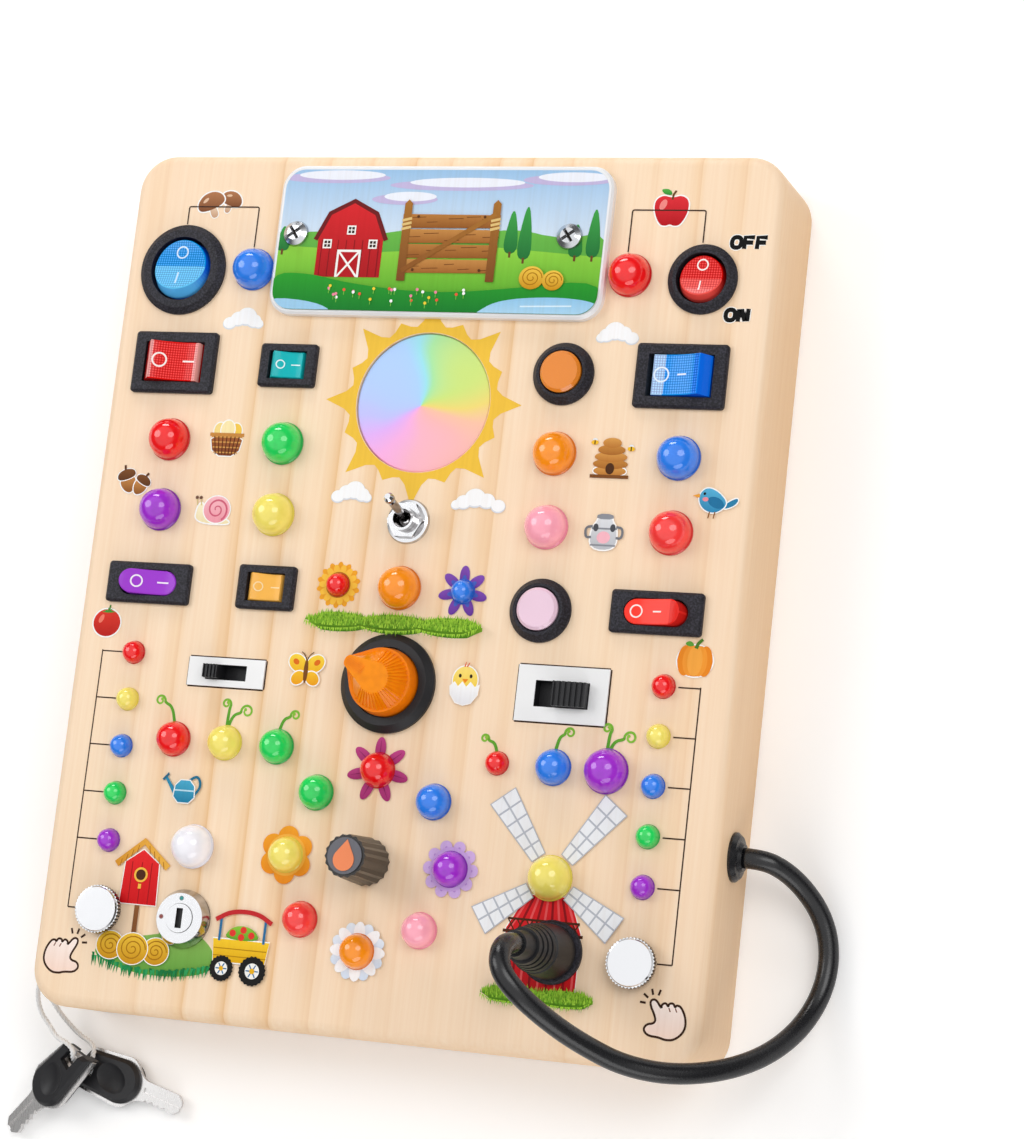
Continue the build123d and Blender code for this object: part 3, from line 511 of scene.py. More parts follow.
def ring(centre, radius, height, count):
    return [(*polar(*centre, radius, 360 * i / count), height) for i in range(count)]


def turnedPiece(verts, faces, centre, profile, count):
    # adds a turned form from (radius, height) pairs that start and end on the axis
    first = len(verts)
    x, y = centre
    verts.append((x, y, profile[0][1]))
    for radius, height in profile[1:-1]:
        verts.extend(ring(centre, radius, height, count))
    verts.append((x, y, profile[-1][1]))
    last = len(verts) - 1
    rings = len(profile) - 2
    for i in range(count):
        after = (i + 1) % count
        faces.append((first, first + 1 + after, first + 1 + i))
        for level in range(rings - 1):
            low = first + 1 + level * count
            faces.append((low + i, low + after, low + count + after, low + count + i))
        top = first + 1 + (rings - 1) * count
        faces.append((top + i, top + after, last))


def nodeIslands(node):
    # the separate solids of a CAD node, each as its lowest and highest corner
    work = bmesh.new()
    work.from_mesh(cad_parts[node].data)
    bmesh.ops.remove_doubles(work, verts=work.verts, dist=1e-6)
    seen = set()
    boxes = []
    for start in work.verts:
        if start in seen:
            continue
        seen.add(start)
        queue = [start]
        for here in queue:
            for edge in here.link_edges:
                other = edge.other_vert(here)
                if other not in seen:
                    seen.add(other)
                    queue.append(other)
        low = Vector([min(v.co[i] for v in queue) for i in range(3)])
        high = Vector([max(v.co[i] for v in queue) for i in range(3)])
        boxes.append((low, high))
    work.free()
    return boxes


print("light caps")
capLook = {"footShare": 0.11, "lipShare": 0.95, "bevelShare": 0.04, "roundness": 0.92, "sides": 48,
           "steps": 10}


def capProfile(radius, height):
    foot = capLook["footShare"] * height
    dome = capLook["lipShare"] * radius
    bevel = capLook["bevelShare"] * radius
    profile = [(0, 0), (radius, 0), (radius, foot - bevel), (radius - bevel * 0.4, foot - bevel * 0.3),
               (dome, foot)]
    steps = capLook["steps"]
    for step in range(1, steps):
        turn = math.pi / 2 * step / steps
        profile.append((dome * math.cos(turn) ** capLook["roundness"],
                        foot + (height - foot) * math.sin(turn)))
    return profile + [(0, height)]


for hue in capColours:
    verts, faces = [], []
    for low, high in nodeIslands("light_caps_" + hue):
        middle = (low + high) / 2
        radius = (high.x - low.x) / 2
        profile = [(r, low.z + z) for r, z in capProfile(radius, high.z - low.z)]
        turnedPiece(verts, faces, (middle.x, middle.y), profile, capLook["sides"])
    mesh = smoothMesh("dome_caps_" + hue, verts, faces)
    cap = addPiece("dome_caps_" + hue, mesh, finishes["clear_" + hue])
    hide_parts("light_caps_" + hue)


print("rocker caps")
# along each cap the bands mix its colour with painted light: the pale bands are painted highlights and
# reflections, the deeper ones painted shade on the sloped ends; wall is a darker tint that paints shade on
# the cap's sides
rockerLook = {
    "blue_round": dict(
        at=(-95, 106.5), turn=-90, window=(22.6, 22.6), shape="round", clear=True, wall="0452cc",
        bands=((-1, "0096e2"), (0.02, "62c4f2")),
        marks=(-0.45, 0.45, 2.3, 4.6, 0.55, "cfe6fa")),
    "red_round": dict(
        at=(93, 106), turn=-90, window=(17.2, 17.2), shape="round", clear=True, wall="8e0402",
        bands=((-1, "dc0c06"), (0.12, "ec5048")), marks=(-0.48, 0.42, 2.0, 3.5, 0.5, "fdeeea")),
    "red_wide": dict(
        at=(-93.3, 73.3), turn=180, window=(22.3, 14.2), shape="rect", clear=True, wall="940604",
        bands=((-1, "b00a06"), (-0.86, "ea9c94"), (-0.72, "e00c06"), (0.70, "ea9c94"), (0.86, "c00a06")),
        marks=(-0.46, 0.50, 2.65, 4.3, 0.6, "fdeeea")),
    "teal_mini": dict(
        at=(-50.4, 73.3), turn=180, window=(13.8, 9.8), shape="rect", clear=False, wall="0f9a9e",
        bands=((-1, "35c4c6"), (-0.80, "12aeb2")), marks=(-0.40, 0.42, 1.6, 3.2, 0.42, "e2f6f6")),
    "blue_wide": dict(
        at=(89.2, 73.3), turn=0, window=(22.3, 14.2), shape="rect", clear=True, wall="0450cc",
        bands=((-1, "a6d0f2"), (-0.42, "0a96ee"), (0.62, "087eec"), (0.80, "0664dc")),
        marks=(-0.50, 0.17, 2.65, 3.3, 0.55, "e6f2fd")),
    "purple_slim": dict(
        at=(-91.8, -4), turn=180, window=(21.8, 9.0), shape="slot", clear=False, wall="7028a4",
        bands=((-1, "9a3cc8"),), marks=(-0.38, 0.50, 2.2, 4.1, 0.55, "f6eafa")),
    "amber_mini": dict(
        at=(-48, -3.4), turn=180, window=(13.8, 9.8), shape="rect", clear=False, wall="e2a040",
        bands=((-1, "f0b250"),), marks=(-0.41, 0.48, 1.7, 3.1, 0.42, "ffe0a8")),
    "red_slim": dict(
        at=(89.5, -4.6), turn=0, window=(21.8, 9.0), shape="slot", clear=False, wall="c41c16",
        bands=((-1, "f63c30"), (0.62, "e02820")), marks=(-0.55, 0.15, 2.2, 3.0, 0.5, "fdece8")),
}
capForm = {"gap": 0.35, "tilt": -12, "height": 0.42, "hollow": 0.12, "edge": 0.3, "foot": -0.5, "toe": -2.4,
           "notch": 4.6, "saddle": 2.5, "footEnd": 0.7, "skirt": 0.2, "narrowest": 0.35, "columns": 5,
           "lift": 0.06, "reach": {"rect": 0.79, "slot": 0.95, "round": 0.87}, "sharp": 32,
           "circleSteps": 32, "barSteps": 6}


def capOutline(look, half, side):
    # how far the top reaches, and its half width at stations along it
    kind = look["shape"]
    reach = capForm["reach"][kind] * half
    flip = -1 if look["turn"] == 180 else 1
    if kind == "rect":
        places = [reach * (i / 7 - 1) for i in range(15)]
    else:
        places = [-reach * math.cos(math.pi * i / 28) for i in range(29)]
    places += [flip * share * half for share, tint in look["bands"] if abs(share) * half < reach - 0.1]
    radius = {"rect": 0.0, "slot": side, "round": reach}[kind]
    stations = []
    for place in sorted(places):
        beyond = max(abs(place) - (reach - radius), 0.0)
        wide = side if kind == "rect" else math.sqrt(max(radius ** 2 - beyond ** 2, 0.0))
        stations.append((place, max(wide, capForm["narrowest"])))
    return reach, stations


def addRockerCap(name, look):
    form = capForm
    half, side = (size / 2 - form["gap"] for size in look["window"])
    reach, stations = capOutline(look, half, side)
    height = form["height"] * half
    flip = -1 if look["turn"] == 180 else 1
    spread = (half - form["skirt"]) / reach
    footShare = (half - form["footEnd"]) / reach
    across = spread if look["shape"] == "round" else 1.0
    turn = Matrix.Rotation(math.radians(look["turn"]), 4, "Z")
    tilt = Matrix.Rotation(math.radians(form["tilt"]), 4, "Y")
    place = Matrix.Translation((*look["at"], faceZ / mm)) @ turn @ tilt
    verts, faces, tints = [], [], []

    def top(along):
        return height - form["hollow"] * half * (1 - (along / reach) ** 2)

    def under(along):
        return form["toe"] + form["saddle"] * max(0.0, 1 - abs(along) / form["notch"])

    inset = (reach - form["edge"]) / reach

    def mark(along):
        return top(along / inset) + form["lift"]

    def add(along, over, up):
        verts.append(place @ Vector((along, over, up)) * mm)
        return len(verts) - 1

    def face(corners, tint, kind):
        faces.append(tuple(corners))
        tints.append((linear(tint) if isinstance(tint, str) else tint)[:3] + (kind,))

    def wallShadeTint(along, share):
        # a round cap's wall turns from the painted shade of the wall tint to the tint of the top above it
        return between(linear(look["wall"]), linear(band(along)), share)

    def band(along):
        share = flip * along / half
        return [tint for start, tint in look["bands"] if start <= share + 1e-6][-1]

    last = form["columns"] - 1
    shares = [2 * j / last - 1 for j in range(last + 1)]
    upper = [[add(along * inset, share * max(wide - form["edge"], 0.1), top(along)) for share in shares]
             for along, wide in stations]
    lower = [[add(along * footShare, share * wide * across, under(along * footShare)) for share in shares]
             for along, wide in stations]
    # alpha 1 is a clear cap with a grid and the strongest painted glow, 0.5 a plain cap with a weaker one
    kind = 1.0 if look["clear"] else 0.5
    for i in range(len(stations) - 1):
        middle = (stations[i][0] + stations[i + 1][0]) / 2
        for j in range(last):
            face((upper[i][j], upper[i + 1][j], upper[i + 1][j + 1], upper[i][j + 1]), band(middle), kind)
            face((lower[i][j], lower[i][j + 1], lower[i + 1][j + 1], lower[i + 1][j]), look["wall"], 0.5)

    # the walls follow the edge of the top all round
    curved = look["shape"] == "round"
    count = len(stations)
    loop = [(i, last) for i in range(count)] + [(count - 1, j) for j in range(last - 1, 0, -1)]
    loop += [(i, 0) for i in range(count - 1, -1, -1)] + [(0, j) for j in range(1, last)]
    rings = [[upper[i][j] for i, j in loop]]
    for share in (0.0, 0.4, 1.0):
        row = []
        for i, j in loop:
            along, wide = stations[i]
            over = shares[j] * wide
            foot = max(form["foot"], under(along) + 0.3)
            edge = top(along) - form["edge"]
            row.append(add(along * (1 + (spread - 1) * share), over * (1 + (across - 1) * share),
                           edge + (foot - edge) * share))
        rings.append(row)
    rings.append([lower[i][j] for i, j in loop])
    for level in range(4):
        for k, (i, j) in enumerate(loop):
            after = (k + 1) % len(loop)
            end = loop[after][0] == i
            along = stations[i][0] * (1 + (spread - 1) * (0, 0.2, 0.7, 1)[level])
            # walls take the darker wall tint as painted shade; the top rim, and the ends of square caps,
            # keep the band tint
            tint = look["wall"]
            if level == 0 or end and level < 3 and not curved:
                tint = band(along)
            elif curved and level < 3:
                tint = wallShadeTint(along, min(max(flip * stations[i][0] / reach - 0.05, 0.0), 0.7))
            above, below = rings[level], rings[level + 1]
            face((above[k], above[after], below[after], below[k]), tint, 0.5)

    # a ring and a bar on the top
    ringAt, barAt, radius, long, pen, white = look["marks"]
    steps = form["circleSteps"]
    circle = []
    for i in range(steps):
        turn = math.tau * i / steps
        pair = []
        for reachTo in (radius - pen, radius):
            along = flip * ringAt * half + reachTo * math.cos(turn)
            pair.append(add(along, reachTo * math.sin(turn), mark(along)))
        circle.append(pair)
    for i in range(steps):
        (a, b), (c, d) = circle[i], circle[(i + 1) % steps]
        face((a, b, d, c), white, 0.0)
    bar = []
    steps = form["barSteps"]
    for i in range(steps + 1):
        along = flip * barAt * half + long * (i / steps - 0.5)
        bar.append([add(along, over, mark(along)) for over in (-pen / 2, pen / 2)])
    for (a, b), (c, d) in zip(bar, bar[1:]):
        face((a, c, d, b), white, 0.0)

    mesh = smoothMesh("rocker_cap_" + name, verts, faces)
    mesh.set_sharp_from_angle(angle=math.radians(form["sharp"]))
    colours = mesh.color_attributes.new("tint", "FLOAT_COLOR", "CORNER")
    for polygon, tint in zip(mesh.polygons, tints):
        for corner in polygon.loop_indices:
            colours.data[corner].color = tint
    cap = addPiece("rocker_cap_" + name, mesh, capPlastic, name + "_rocker")
    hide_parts("rocker_" + name)


for rockerName, rockerValues in rockerLook.items():
    addRockerCap(rockerName, rockerValues)


# the knurl valleys, slot walls and key slot below are partly painted shade
print("grooves, slot liners and key slot")


def addBlock(verts, faces, low, high, spin=None):
    # a block between two corners in millimetres, turned by a matrix if given
    first = len(verts)
    for z in (low[2], high[2]):
        for x, y in ((low[0], low[1]), (high[0], low[1]), (high[0], high[1]), (low[0], high[1])):
            corner = Vector((x, y, z))
            verts.append((spin @ corner if spin else corner) * mm)
    for face in ((3, 2, 1, 0), (4, 5, 6, 7), (0, 1, 5, 4), (1, 2, 6, 5), (2, 3, 7, 6), (3, 0, 4, 7)):
        faces.append(tuple(first + i for i in face))


def addFlat(name, verts, faces, finish, body="board"):
    return addPiece(name, flatMesh(name, verts, faces), finishes[finish], body)


def turnAt(middle, degrees):
    # puts a form drawn round the origin at a place on the board, turned
    return Matrix.Translation((*middle, 0)) @ Matrix.Rotation(math.radians(degrees), 4, "Z")


def addKnurlShade():
    # painted shade: dark blocks in the valleys between the teeth of the metal push buttons
    look = {"left": (-93.5, -115.4), "right": (93.9, -116.0), "teeth": 42, "reach": (7.3, 7.84),
            "half": 0.17, "from": 38.85, "to": 41.15}
    for side in ("left", "right"):
        verts, faces = [], []
        for tooth in range(look["teeth"]):
            spin = turnAt(look[side], 360 * (tooth + 0.5) / look["teeth"])
            addBlock(verts, faces, (look["reach"][0], -look["half"], look["from"]),
                     (look["reach"][1], look["half"], look["to"]), spin)
        addFlat("knurl_shade_" + side, verts, faces, "matt_black", side + "_push_cap")


def addCarriageAndSlotShade():
    # dark floor and walls inside the two slide switch slots: the floor is the black slider carriage, and
    # the dark walls are partly painted shade in the slots
    look = {"slots": ((-58.9, -32.9, 15.0, 5.2), (60.5, -32.9, 18.5, 8.6)), "wall": 0.13, "floor": 0.16,
            "bottom": 33.0, "top": 37.76, "clear": 0.01}
    verts, faces = [], []
    for x, y, long, wide in look["slots"]:
        a, b, t = long / 2 - look["clear"], wide / 2 - look["clear"], look["wall"]
        low, high = look["bottom"] + look["clear"], look["top"]
        addBlock(verts, faces, (x - a, y - b, low), (x + a, y + b, low + look["floor"]))
        for lowX, lowY, highX, highY in ((-a, -b, -a + t, b), (a - t, -b, a, b),
                                         (-a + t, -b, a - t, -b + t), (-a + t, b - t, a - t, b)):
            addBlock(verts, faces, (x + lowX, y + lowY, low + look["floor"]), (x + highX, y + highY, high))
    addFlat("slot_carriage_and_shade", verts, faces, "matt_black")


def addKeySlotShade():
    # painted shade: a dark block in the keyway of the key switch
    look = {"size": (2.26, 6.56), "from": 38.9, "to": 39.7}
    verts, faces = [], []
    (x, y), (wide, long) = keyMiddle, look["size"]
    addBlock(verts, faces, (x - wide / 2, y - long / 2, look["from"]),
             (x + wide / 2, y + long / 2, look["to"]))
    addFlat("key_slot_shade", verts, faces, "matt_black", "key_drum")


def addRidges():
    # fine ridges along the selector's pointer
    look = {"at": (0.0, -33.0), "turn": 152, "from": 4.6, "tips": (10.9, 11.3, 11.5), "pitch": 0.62,
            "half": 0.16, "low": 50.8, "high": 51.36}
    verts, faces = [], []
    spin = turnAt(look["at"], look["turn"])
    for step in range(-2, 3):
        over = step * look["pitch"]
        addBlock(verts, faces, (look["from"], over - look["half"], look["low"]),
                 (look["tips"][2 - abs(step)], over + look["half"], look["high"]), spin)
    addFlat("selector_ridges", verts, faces, "knob_orange", "selector")


addKnurlShade()
addCarriageAndSlotShade()
addKeySlotShade()
addRidges()


print("cable and key cord")


def splineLine(name, points, finer=12):
    # the smooth line that a cord follows, with the route's points as its control points
    data = bpy.data.curves.new(name, "CURVE")
    data.dimensions = "3D"
    data.resolution_u = finer
    spline = data.splines.new("NURBS")
    spline.points.add(len(points) - 1)
    for point, (x, y, z) in zip(spline.points, points):
        point.co = (x, y, z, 1)
    spline.order_u = 3
    spline.use_endpoint_u = True
    holder = bpy.data.objects.new(name, data)
    bpy.context.scene.collection.objects.link(holder)
    bpy.context.view_layer.update()
    line = bpy.data.meshes.new_from_object(holder)
    path = []
    for vertex in line.vertices:
        if not path or (vertex.co - path[-1]).length > 0.05 * mm:
            path.append(vertex.co.copy())
    bpy.data.objects.remove(holder)
    return path


def frames(path):
    # a side and an upward direction at each point, carried along without twist
    found = []
    side = None
    for i, here in enumerate(path):
        along = (path[min(i + 1, len(path) - 1)] - path[max(i - 1, 0)]).normalized()
        if side is None:
            side = along.orthogonal().normalized()
        side = (side - along * side.dot(along)).normalized()
        found.append((here, side, along.cross(side), along))
    return found


def tube(verts, faces, stations, radius, sides, offset=0.0, turns=0.0, start=0.0):
    # a round tube along the stations, or one strand that winds round them
    first = len(verts)
    travelled = 0.0
    before = stations[0][0]
    for here, side, up, along in stations:
        travelled += (here - before).length
        before = here
        wind = start + math.tau * turns * travelled
        middle = here + (side * math.cos(wind) + up * math.sin(wind)) * offset
        for i in range(sides):
            turn = math.tau * i / sides
            verts.append(middle + (side * math.cos(turn) + up * math.sin(turn)) * radius)
    count = len(stations)
    for level in range(count - 1):
        low = first + level * sides
        for i in range(sides):
            after = (i + 1) % sides
            faces.append((low + i, low + after, low + sides + after, low + sides + i))
    faces.append(tuple(first + i for i in reversed(range(sides))))
    faces.append(tuple(first + (count - 1) * sides + i for i in range(sides)))


cableLook = {
    "thick": 6.6 * mm, "long": 0.209, "sides": 24,
    "route": [
        (66.5, -115, 73), (66.5, -115, 79), (66.5, -118, 84.5), (68, -123.5, 87.5), (72.5, -129, 86.5),
        (78.5, -134.5, 81.5), (85, -139.5, 75), (91.5, -143.5, 68), (100, -147.5, 60),
        (110.5, -149, 52.5), (120.5, -147.8, 44.5), (129.5, -144.5, 35), (137, -139, 24.5),
        (142.5, -131, 14), (146, -121.5, 6.5), (147.8, -111.5, 3.6), (147.2, -101.5, 3.7),
        (144, -93, 5.2), (139, -86, 9.2), (133.5, -81.2, 13.8), (127.4, -78.6, 18.5), (121, -78.6, 18.5),
    ],
}


def addCable(look):
    # laid from the grommet to the plug
    points = [tuple(part * mm for part in point) for point in reversed(look["route"])]
    path = splineLine("cableLine", points)
    verts, faces = [], []
    tube(verts, faces, frames(path), look["thick"] / 2, look["sides"])
    cable = addPiece("power_cable", smoothMesh("power_cable", verts, faces), finishes["cable_black"],
                     body=None)
    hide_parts("plug_cable")
    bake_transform(cable)


cordLook = {
    "thick": 1.8 * mm, "long": 0.122, "strands": 3, "strandShare": 0.27, "sides": 8, "turnsPerMetre": 230,
    "route": [
        (-114, -136, 19.6), (-119, -136.5, 19.4), (-123.5, -139.5, 17.5), (-125.8, -145, 14.4),
        (-124.6, -151.2, 12.2), (-119.8, -155.6, 12.6), (-116.4, -158.9, 13.9), (-112, -160.1, 14.7),
        (-109.3, -162.2, 14.4), (-109.6, -164.8, 13.2), (-110.1, -166.2, 10.6), (-109.2, -165.9, 7.6),
        (-109.9, -166.2, 5.2), (-112.6, -166.2, 4.7), (-115.2, -165.7, 4), (-115.8, -165.5, 1.9),
        (-113.8, -166, 1), (-110.7, -166.9, 1), (-108.1, -167.6, 1.6), (-106.8, -167.9, 4.2),
        (-106, -167.3, 7), (-104.9, -164.6, 7.9), (-104.7, -161.2, 7.4), (-107.6, -158.9, 6.2),
        (-112, -157.2, 5.4), (-116.2, -154.1, 5.8), (-119.8, -150, 8.4), (-122, -145, 12.4),
        (-122, -140, 16), (-118.6, -136.6, 17.4), (-114, -136, 17.4),
    ],
}


def addKeyCord(look):
    points = [tuple(part * mm for part in point) for point in look["route"]]
    path = splineLine("keyCordLine", points)
    stations = frames(path)
    verts, faces = [], []
    strand = look["thick"] * look["strandShare"]
    for i in range(look["strands"]):
        tube(verts, faces, stations, strand, look["sides"], look["thick"] / 2 - strand,
             look["turnsPerMetre"], math.tau * i / look["strands"])
    cord = addPiece("key_cord", smoothMesh("key_cord", verts, faces), finishes["cord_white"])
    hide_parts("lanyard")


addCable(cableLook)
addKeyCord(cordLook)


print("printed pictures")


def oval(x, y, wide, high=None, turn=0.0, count=28):
    # an ellipse outline from its half width and half height
    high = wide if high is None else high
    c, s = math.cos(math.radians(turn)), math.sin(math.radians(turn))
    points = []
    for i in range(count):
        a, b = wide * math.cos(math.tau * i / count), high * math.sin(math.tau * i / count)
        points.append((x + a * c - b * s, y + a * s + b * c))
    return points


def box(x, y, wide, high):
    # a rectangle from its half width and half height
    return [(x - wide, y - high), (x + wide, y - high), (x + wide, y + high), (x - wide, y + high)]


def coil(x, y, reach, count, turn, start=0.0, flat=1.0):
    # a line that winds inwards, with an angle in degrees from each point to the next
    points = []
    for i in range(count):
        px, py = polar(0, 0, reach * (1 - i / (count + 4)), start + turn * i)
        points.append((x + px, y + flat * py))
    return points


def rounded(points, rounds=3, closed=True):
    # cuts every corner again and again until the outline is round
    for step in range(rounds):
        cut = [] if closed else [points[0]]
        count = len(points)
        for i in range(count if closed else count - 1):
            (ax, ay), (bx, by) = points[i], points[(i + 1) % count]
            cut.append((0.75 * ax + 0.25 * bx, 0.75 * ay + 0.25 * by))
            cut.append((0.25 * ax + 0.75 * bx, 0.25 * ay + 0.75 * by))
        points = cut if closed else cut + [points[-1]]
    return points


def moved(points, x, y, size=1.0, turn=0.0):
    c, s = size * math.cos(math.radians(turn)), size * math.sin(math.radians(turn))
    return [(x + a * c - b * s, y + a * s + b * c) for a, b in points]


def area(points):
    return sum(ax * by - bx * ay for (ax, ay), (bx, by) in zip(points, points[1:] + points[:1])) / 2


def grown(points, margin):
    # the outline moved outwards
    if area(points) < 0:
        points = points[::-1]
    out = []
    for i, (x, y) in enumerate(points):
        (ax, ay), (bx, by) = points[i - 1], points[(i + 1) % len(points)]
        span = math.hypot(bx - ax, by - ay) or 1.0
        out.append((x + margin * (by - ay) / span, y - margin * (bx - ax) / span))
    return out


def clipped(points, window):
    # the part of an outline inside a convex window that runs anticlockwise
    for (ax, ay), (bx, by) in zip(window, window[1:] + window[:1]):
        kept = []
        for (px, py), (qx, qy) in zip(points, points[1:] + points[:1]):
            p = (bx - ax) * (py - ay) - (by - ay) * (px - ax)
            q = (bx - ax) * (qy - ay) - (by - ay) * (qx - ax)
            if p >= 0:
                kept.append((px, py))
            if (p >= 0) != (q >= 0):
                kept.append((px + (qx - px) * p / (p - q), py + (qy - py) * p / (p - q)))
        points = kept
        if len(points) < 3:
            return []
    return points


class Print:
    # shapes in millimetres laid over each other, each a hair above the last
    rise = 0.03 * mm
    step = 0.006 * mm
    haloTint = "fdfbf8"

    def __init__(self, name, base=faceZ, window=None, facing=1):
        self.name, self.window, self.facing = name, window, facing
        self.height = base + facing * self.rise
        self.verts, self.faces, self.tints = [], [], []
        self.aim(0, 0)

    def aim(self, x, y, size=1.0, turn=0.0):
        # what is drawn next stands here
        self.origin = (x, y, size, turn)

    def tint(self, colour, share):
        if isinstance(colour, str):
            return linear(colour)
        return between(linear(colour[0]), linear(colour[1]), share)

    def put(self, x, y, tint):
        self.verts.append((x * mm, y * mm, self.height))
        self.tints.append(tint)

    def lift(self):
        self.height += self.facing * self.step

    def shape(self, points, colour, halo=0.0):
        # a filled outline in one colour or two, from its foot to its top, with a pale rim if asked
        points = moved(points, *self.origin)
        if halo:
            self.lay(grown(points, halo), self.haloTint)
        self.lay(points, colour)

    def lay(self, points, colour):
        if self.window:
            points = clipped(points, self.window)
        if len(points) < 3:
            return
        if area(points) * self.facing < 0:
            points = points[::-1]
        first = len(self.verts)
        low = min(y for x, y in points)
        span = max(y for x, y in points) - low or 1.0
        for x, y in points:
            self.put(x, y, self.tint(colour, (y - low) / span))
        self.faces.append(tuple(range(first, first + len(points))))
        self.lift()

    def fan(self, x, y, points, colour):
        # a star-like outline as triangles round its middle
        first, count = len(self.verts), len(points)
        for px, py in moved([(x, y)] + points, *self.origin):
            self.put(px, py, linear(colour))
        for i in range(count):
            self.faces.append((first, first + 1 + i, first + 1 + (i + 1) % count))
        self.lift()

    def stroke(self, points, wide, colour, narrow=None, closed=False):
        # a line of the given width, which may taper towards its end
        points = moved(points, *self.origin)
        narrow = wide if narrow is None else narrow
        first, count = len(self.verts), len(points)
        for i, (x, y) in enumerate(points):
            if closed:
                (ax, ay), (bx, by) = points[i - 1], points[(i + 1) % count]
            else:
                (ax, ay), (bx, by) = points[max(i - 1, 0)], points[min(i + 1, count - 1)]
            span = math.hypot(bx - ax, by - ay) or 1.0
            share = i / (count - 1)
            half = (wide + (narrow - wide) * share) / 2
            for side in (half, -half):
                self.put(x - side * (by - ay) / span, y + side * (bx - ax) / span, self.tint(colour, share))
        for i in range(count if closed else count - 1):
            low, high = first + 2 * i, first + 2 * ((i + 1) % count)
            face = (low + 1, high + 1, high, low)
            self.faces.append(face if self.facing > 0 else face[::-1])
        self.lift()

    def petals(self, count, reach, half, colour, start=90.0, root=0.45):
        # pointed ovals round the middle, in two turns so that neighbours overlap
        for i in (*range(0, count, 2), *range(1, count, 2)):
            turn = start + 360 * i / count
            middle = polar(0, 0, reach * (1 + root) / 2, turn)
            self.shape(oval(*middle, reach * (1 - root) / 2, half, turn, 18), colour)

    def done(self):
        mesh = flatMesh(self.name, self.verts, self.faces)
        colours = mesh.color_attributes.new("tint", "FLOAT_COLOR", "POINT")
        for item, tint in zip(colours.data, self.tints):
            item.color = tint
        mesh.update()
        return addPiece(self.name, mesh, ink)


wire = "3a261c"


def drawWires():
    # thin printed lines that join lights to their switches
    look = {"wide": 0.45, "column": 106.4, "top": -27.6, "foot": -115.4, "pitch": 16.0, "ticks": 5,
            "tick": 7.4, "footTick": 5, "roof": 129.4, "bend": 1.6,
            "roofs": ((-96.0, -69.3, 123.0, 115.0), (66.3, 91.6, 115.0, 118.5))}
    sheet = Print("print_wires")
    for side in (-1, 1):
        x = side * look["column"]
        sheet.stroke([(x, look["top"]), (x, look["foot"])], look["wide"], wire)
        for step in range(look["ticks"]):
            y = look["top"] - 0.4 - step * look["pitch"]
            sheet.stroke([(x, y), (x - side * look["tick"], y)], look["wide"], wire)
        sheet.stroke([(x, look["foot"]), (x - side * look["footTick"], look["foot"])], look["wide"], wire)
    top, bend = look["roof"], look["bend"]
    for left, right, lowLeft, lowRight in look["roofs"]:
        corner = [(left, lowLeft), (left, top - bend), (left, top), (left + bend, top), (right - bend, top),
                  (right, top), (right, top - bend), (right, lowRight)]
        sheet.stroke(rounded(corner, 2, closed=False), look["wide"], wire)
    sheet.done()


def drawWords():
    # OFF and ON beside the round switch, in plain slanted block letters
    look = {"high": 3.5, "wide": 3.1, "pitch": 4.3, "pen": 1.5, "slant": 0.04, "rim": 0.6}
    letters = {
        "O": [rounded([(0, 0), (1, 0), (1, 1), (0, 1)], 2)],
        "F": [[(0, -0.12), (0, 1), (1.02, 1)], [(0, 0.5), (0.9, 0.5)]],
        "N": [[(0, -0.12), (0, 1), (0.3, 1), (0.72, 0), (1, 0), (1, 1.12)]],
    }
    sheet = Print("print_words")
    for word, x, y in (("OFF", 101.4, 117.0), ("ON", 101.8, 92.6)):
        for colour, extra in (("fdfaf5", look["rim"]), ("060606", 0.0)):
            for place, letter in enumerate(word):
                for path in letters[letter]:
                    sheet.aim(x + place * look["pitch"], y)
                    points = []
                    for a, b in path:
                        points.append((a * look["wide"] + b * look["high"] * look["slant"],
                                       b * look["high"]))
                    sheet.stroke(points, look["pen"] + extra, colour, closed=letter == "O")
    sheet.done()


def drawSunRays():
    # eight long rays and eight short ones between them, round an open middle
    look = {"centre": (0.0, 62.2), "hole": 24.1, "valley": 26.4, "long": 35.2, "short": 29.2, "rays": 16,
            "bulge": 0.22, "gold": "f3c443"}
    points = []
    for ray in range(look["rays"]):
        tip = look["short"] if ray % 2 else look["long"]
        shoulder = look["valley"] + look["bulge"] * (tip - look["valley"])
        for share, reach in ((-1, look["valley"]), (-0.55, shoulder), (0, tip), (0.55, shoulder)):
            points.append(polar(*look["centre"], reach, 360 * (ray + share / 2) / look["rays"]))
    sheet = Print("print_sun")
    count = len(points)
    for x, y in points + oval(*look["centre"], look["hole"], count=count):
        sheet.put(x, y, linear(look["gold"]))
    for i in range(count):
        after = (i + 1) % count
        sheet.faces.append((i, after, count + after, count + i))
    sheet.done()


def drawClouds():
    # each cloud is a row of puffs, drawn as a shade and again as a smaller white form above it
    look = {"white": "fbfbfc", "shade": "dfe3ea", "tallest": 5.6}
    puffs = ((-1.0, -0.1, 0.42), (-0.45, 0.25, 0.5), (0.1, 0.45, 0.62), (0.62, 0.1, 0.46),
             (0.95, -0.12, 0.3))
    clouds = ((-69.2, 88.6, 5.6, 1), (65.4, 86.4, 5.4, -1), (-21, 29.6, 5.4, 1), (23.5, 28.6, 7.6, -1))
    sheet = Print("print_clouds")
    for x, y, wide, lean in clouds:
        high = min(wide, look["tallest"])
        for colour, size, drop in ((look["shade"], 1.0, 0.35), (look["white"], 0.93, 0.0)):
            sheet.aim(x, y - drop)
            for a, b, r in puffs:
                puff = oval(lean * a * wide, b * high * 0.8, r * high * size * 1.1, r * high * size * 0.92)
                sheet.shape(puff, colour)
    sheet.done()


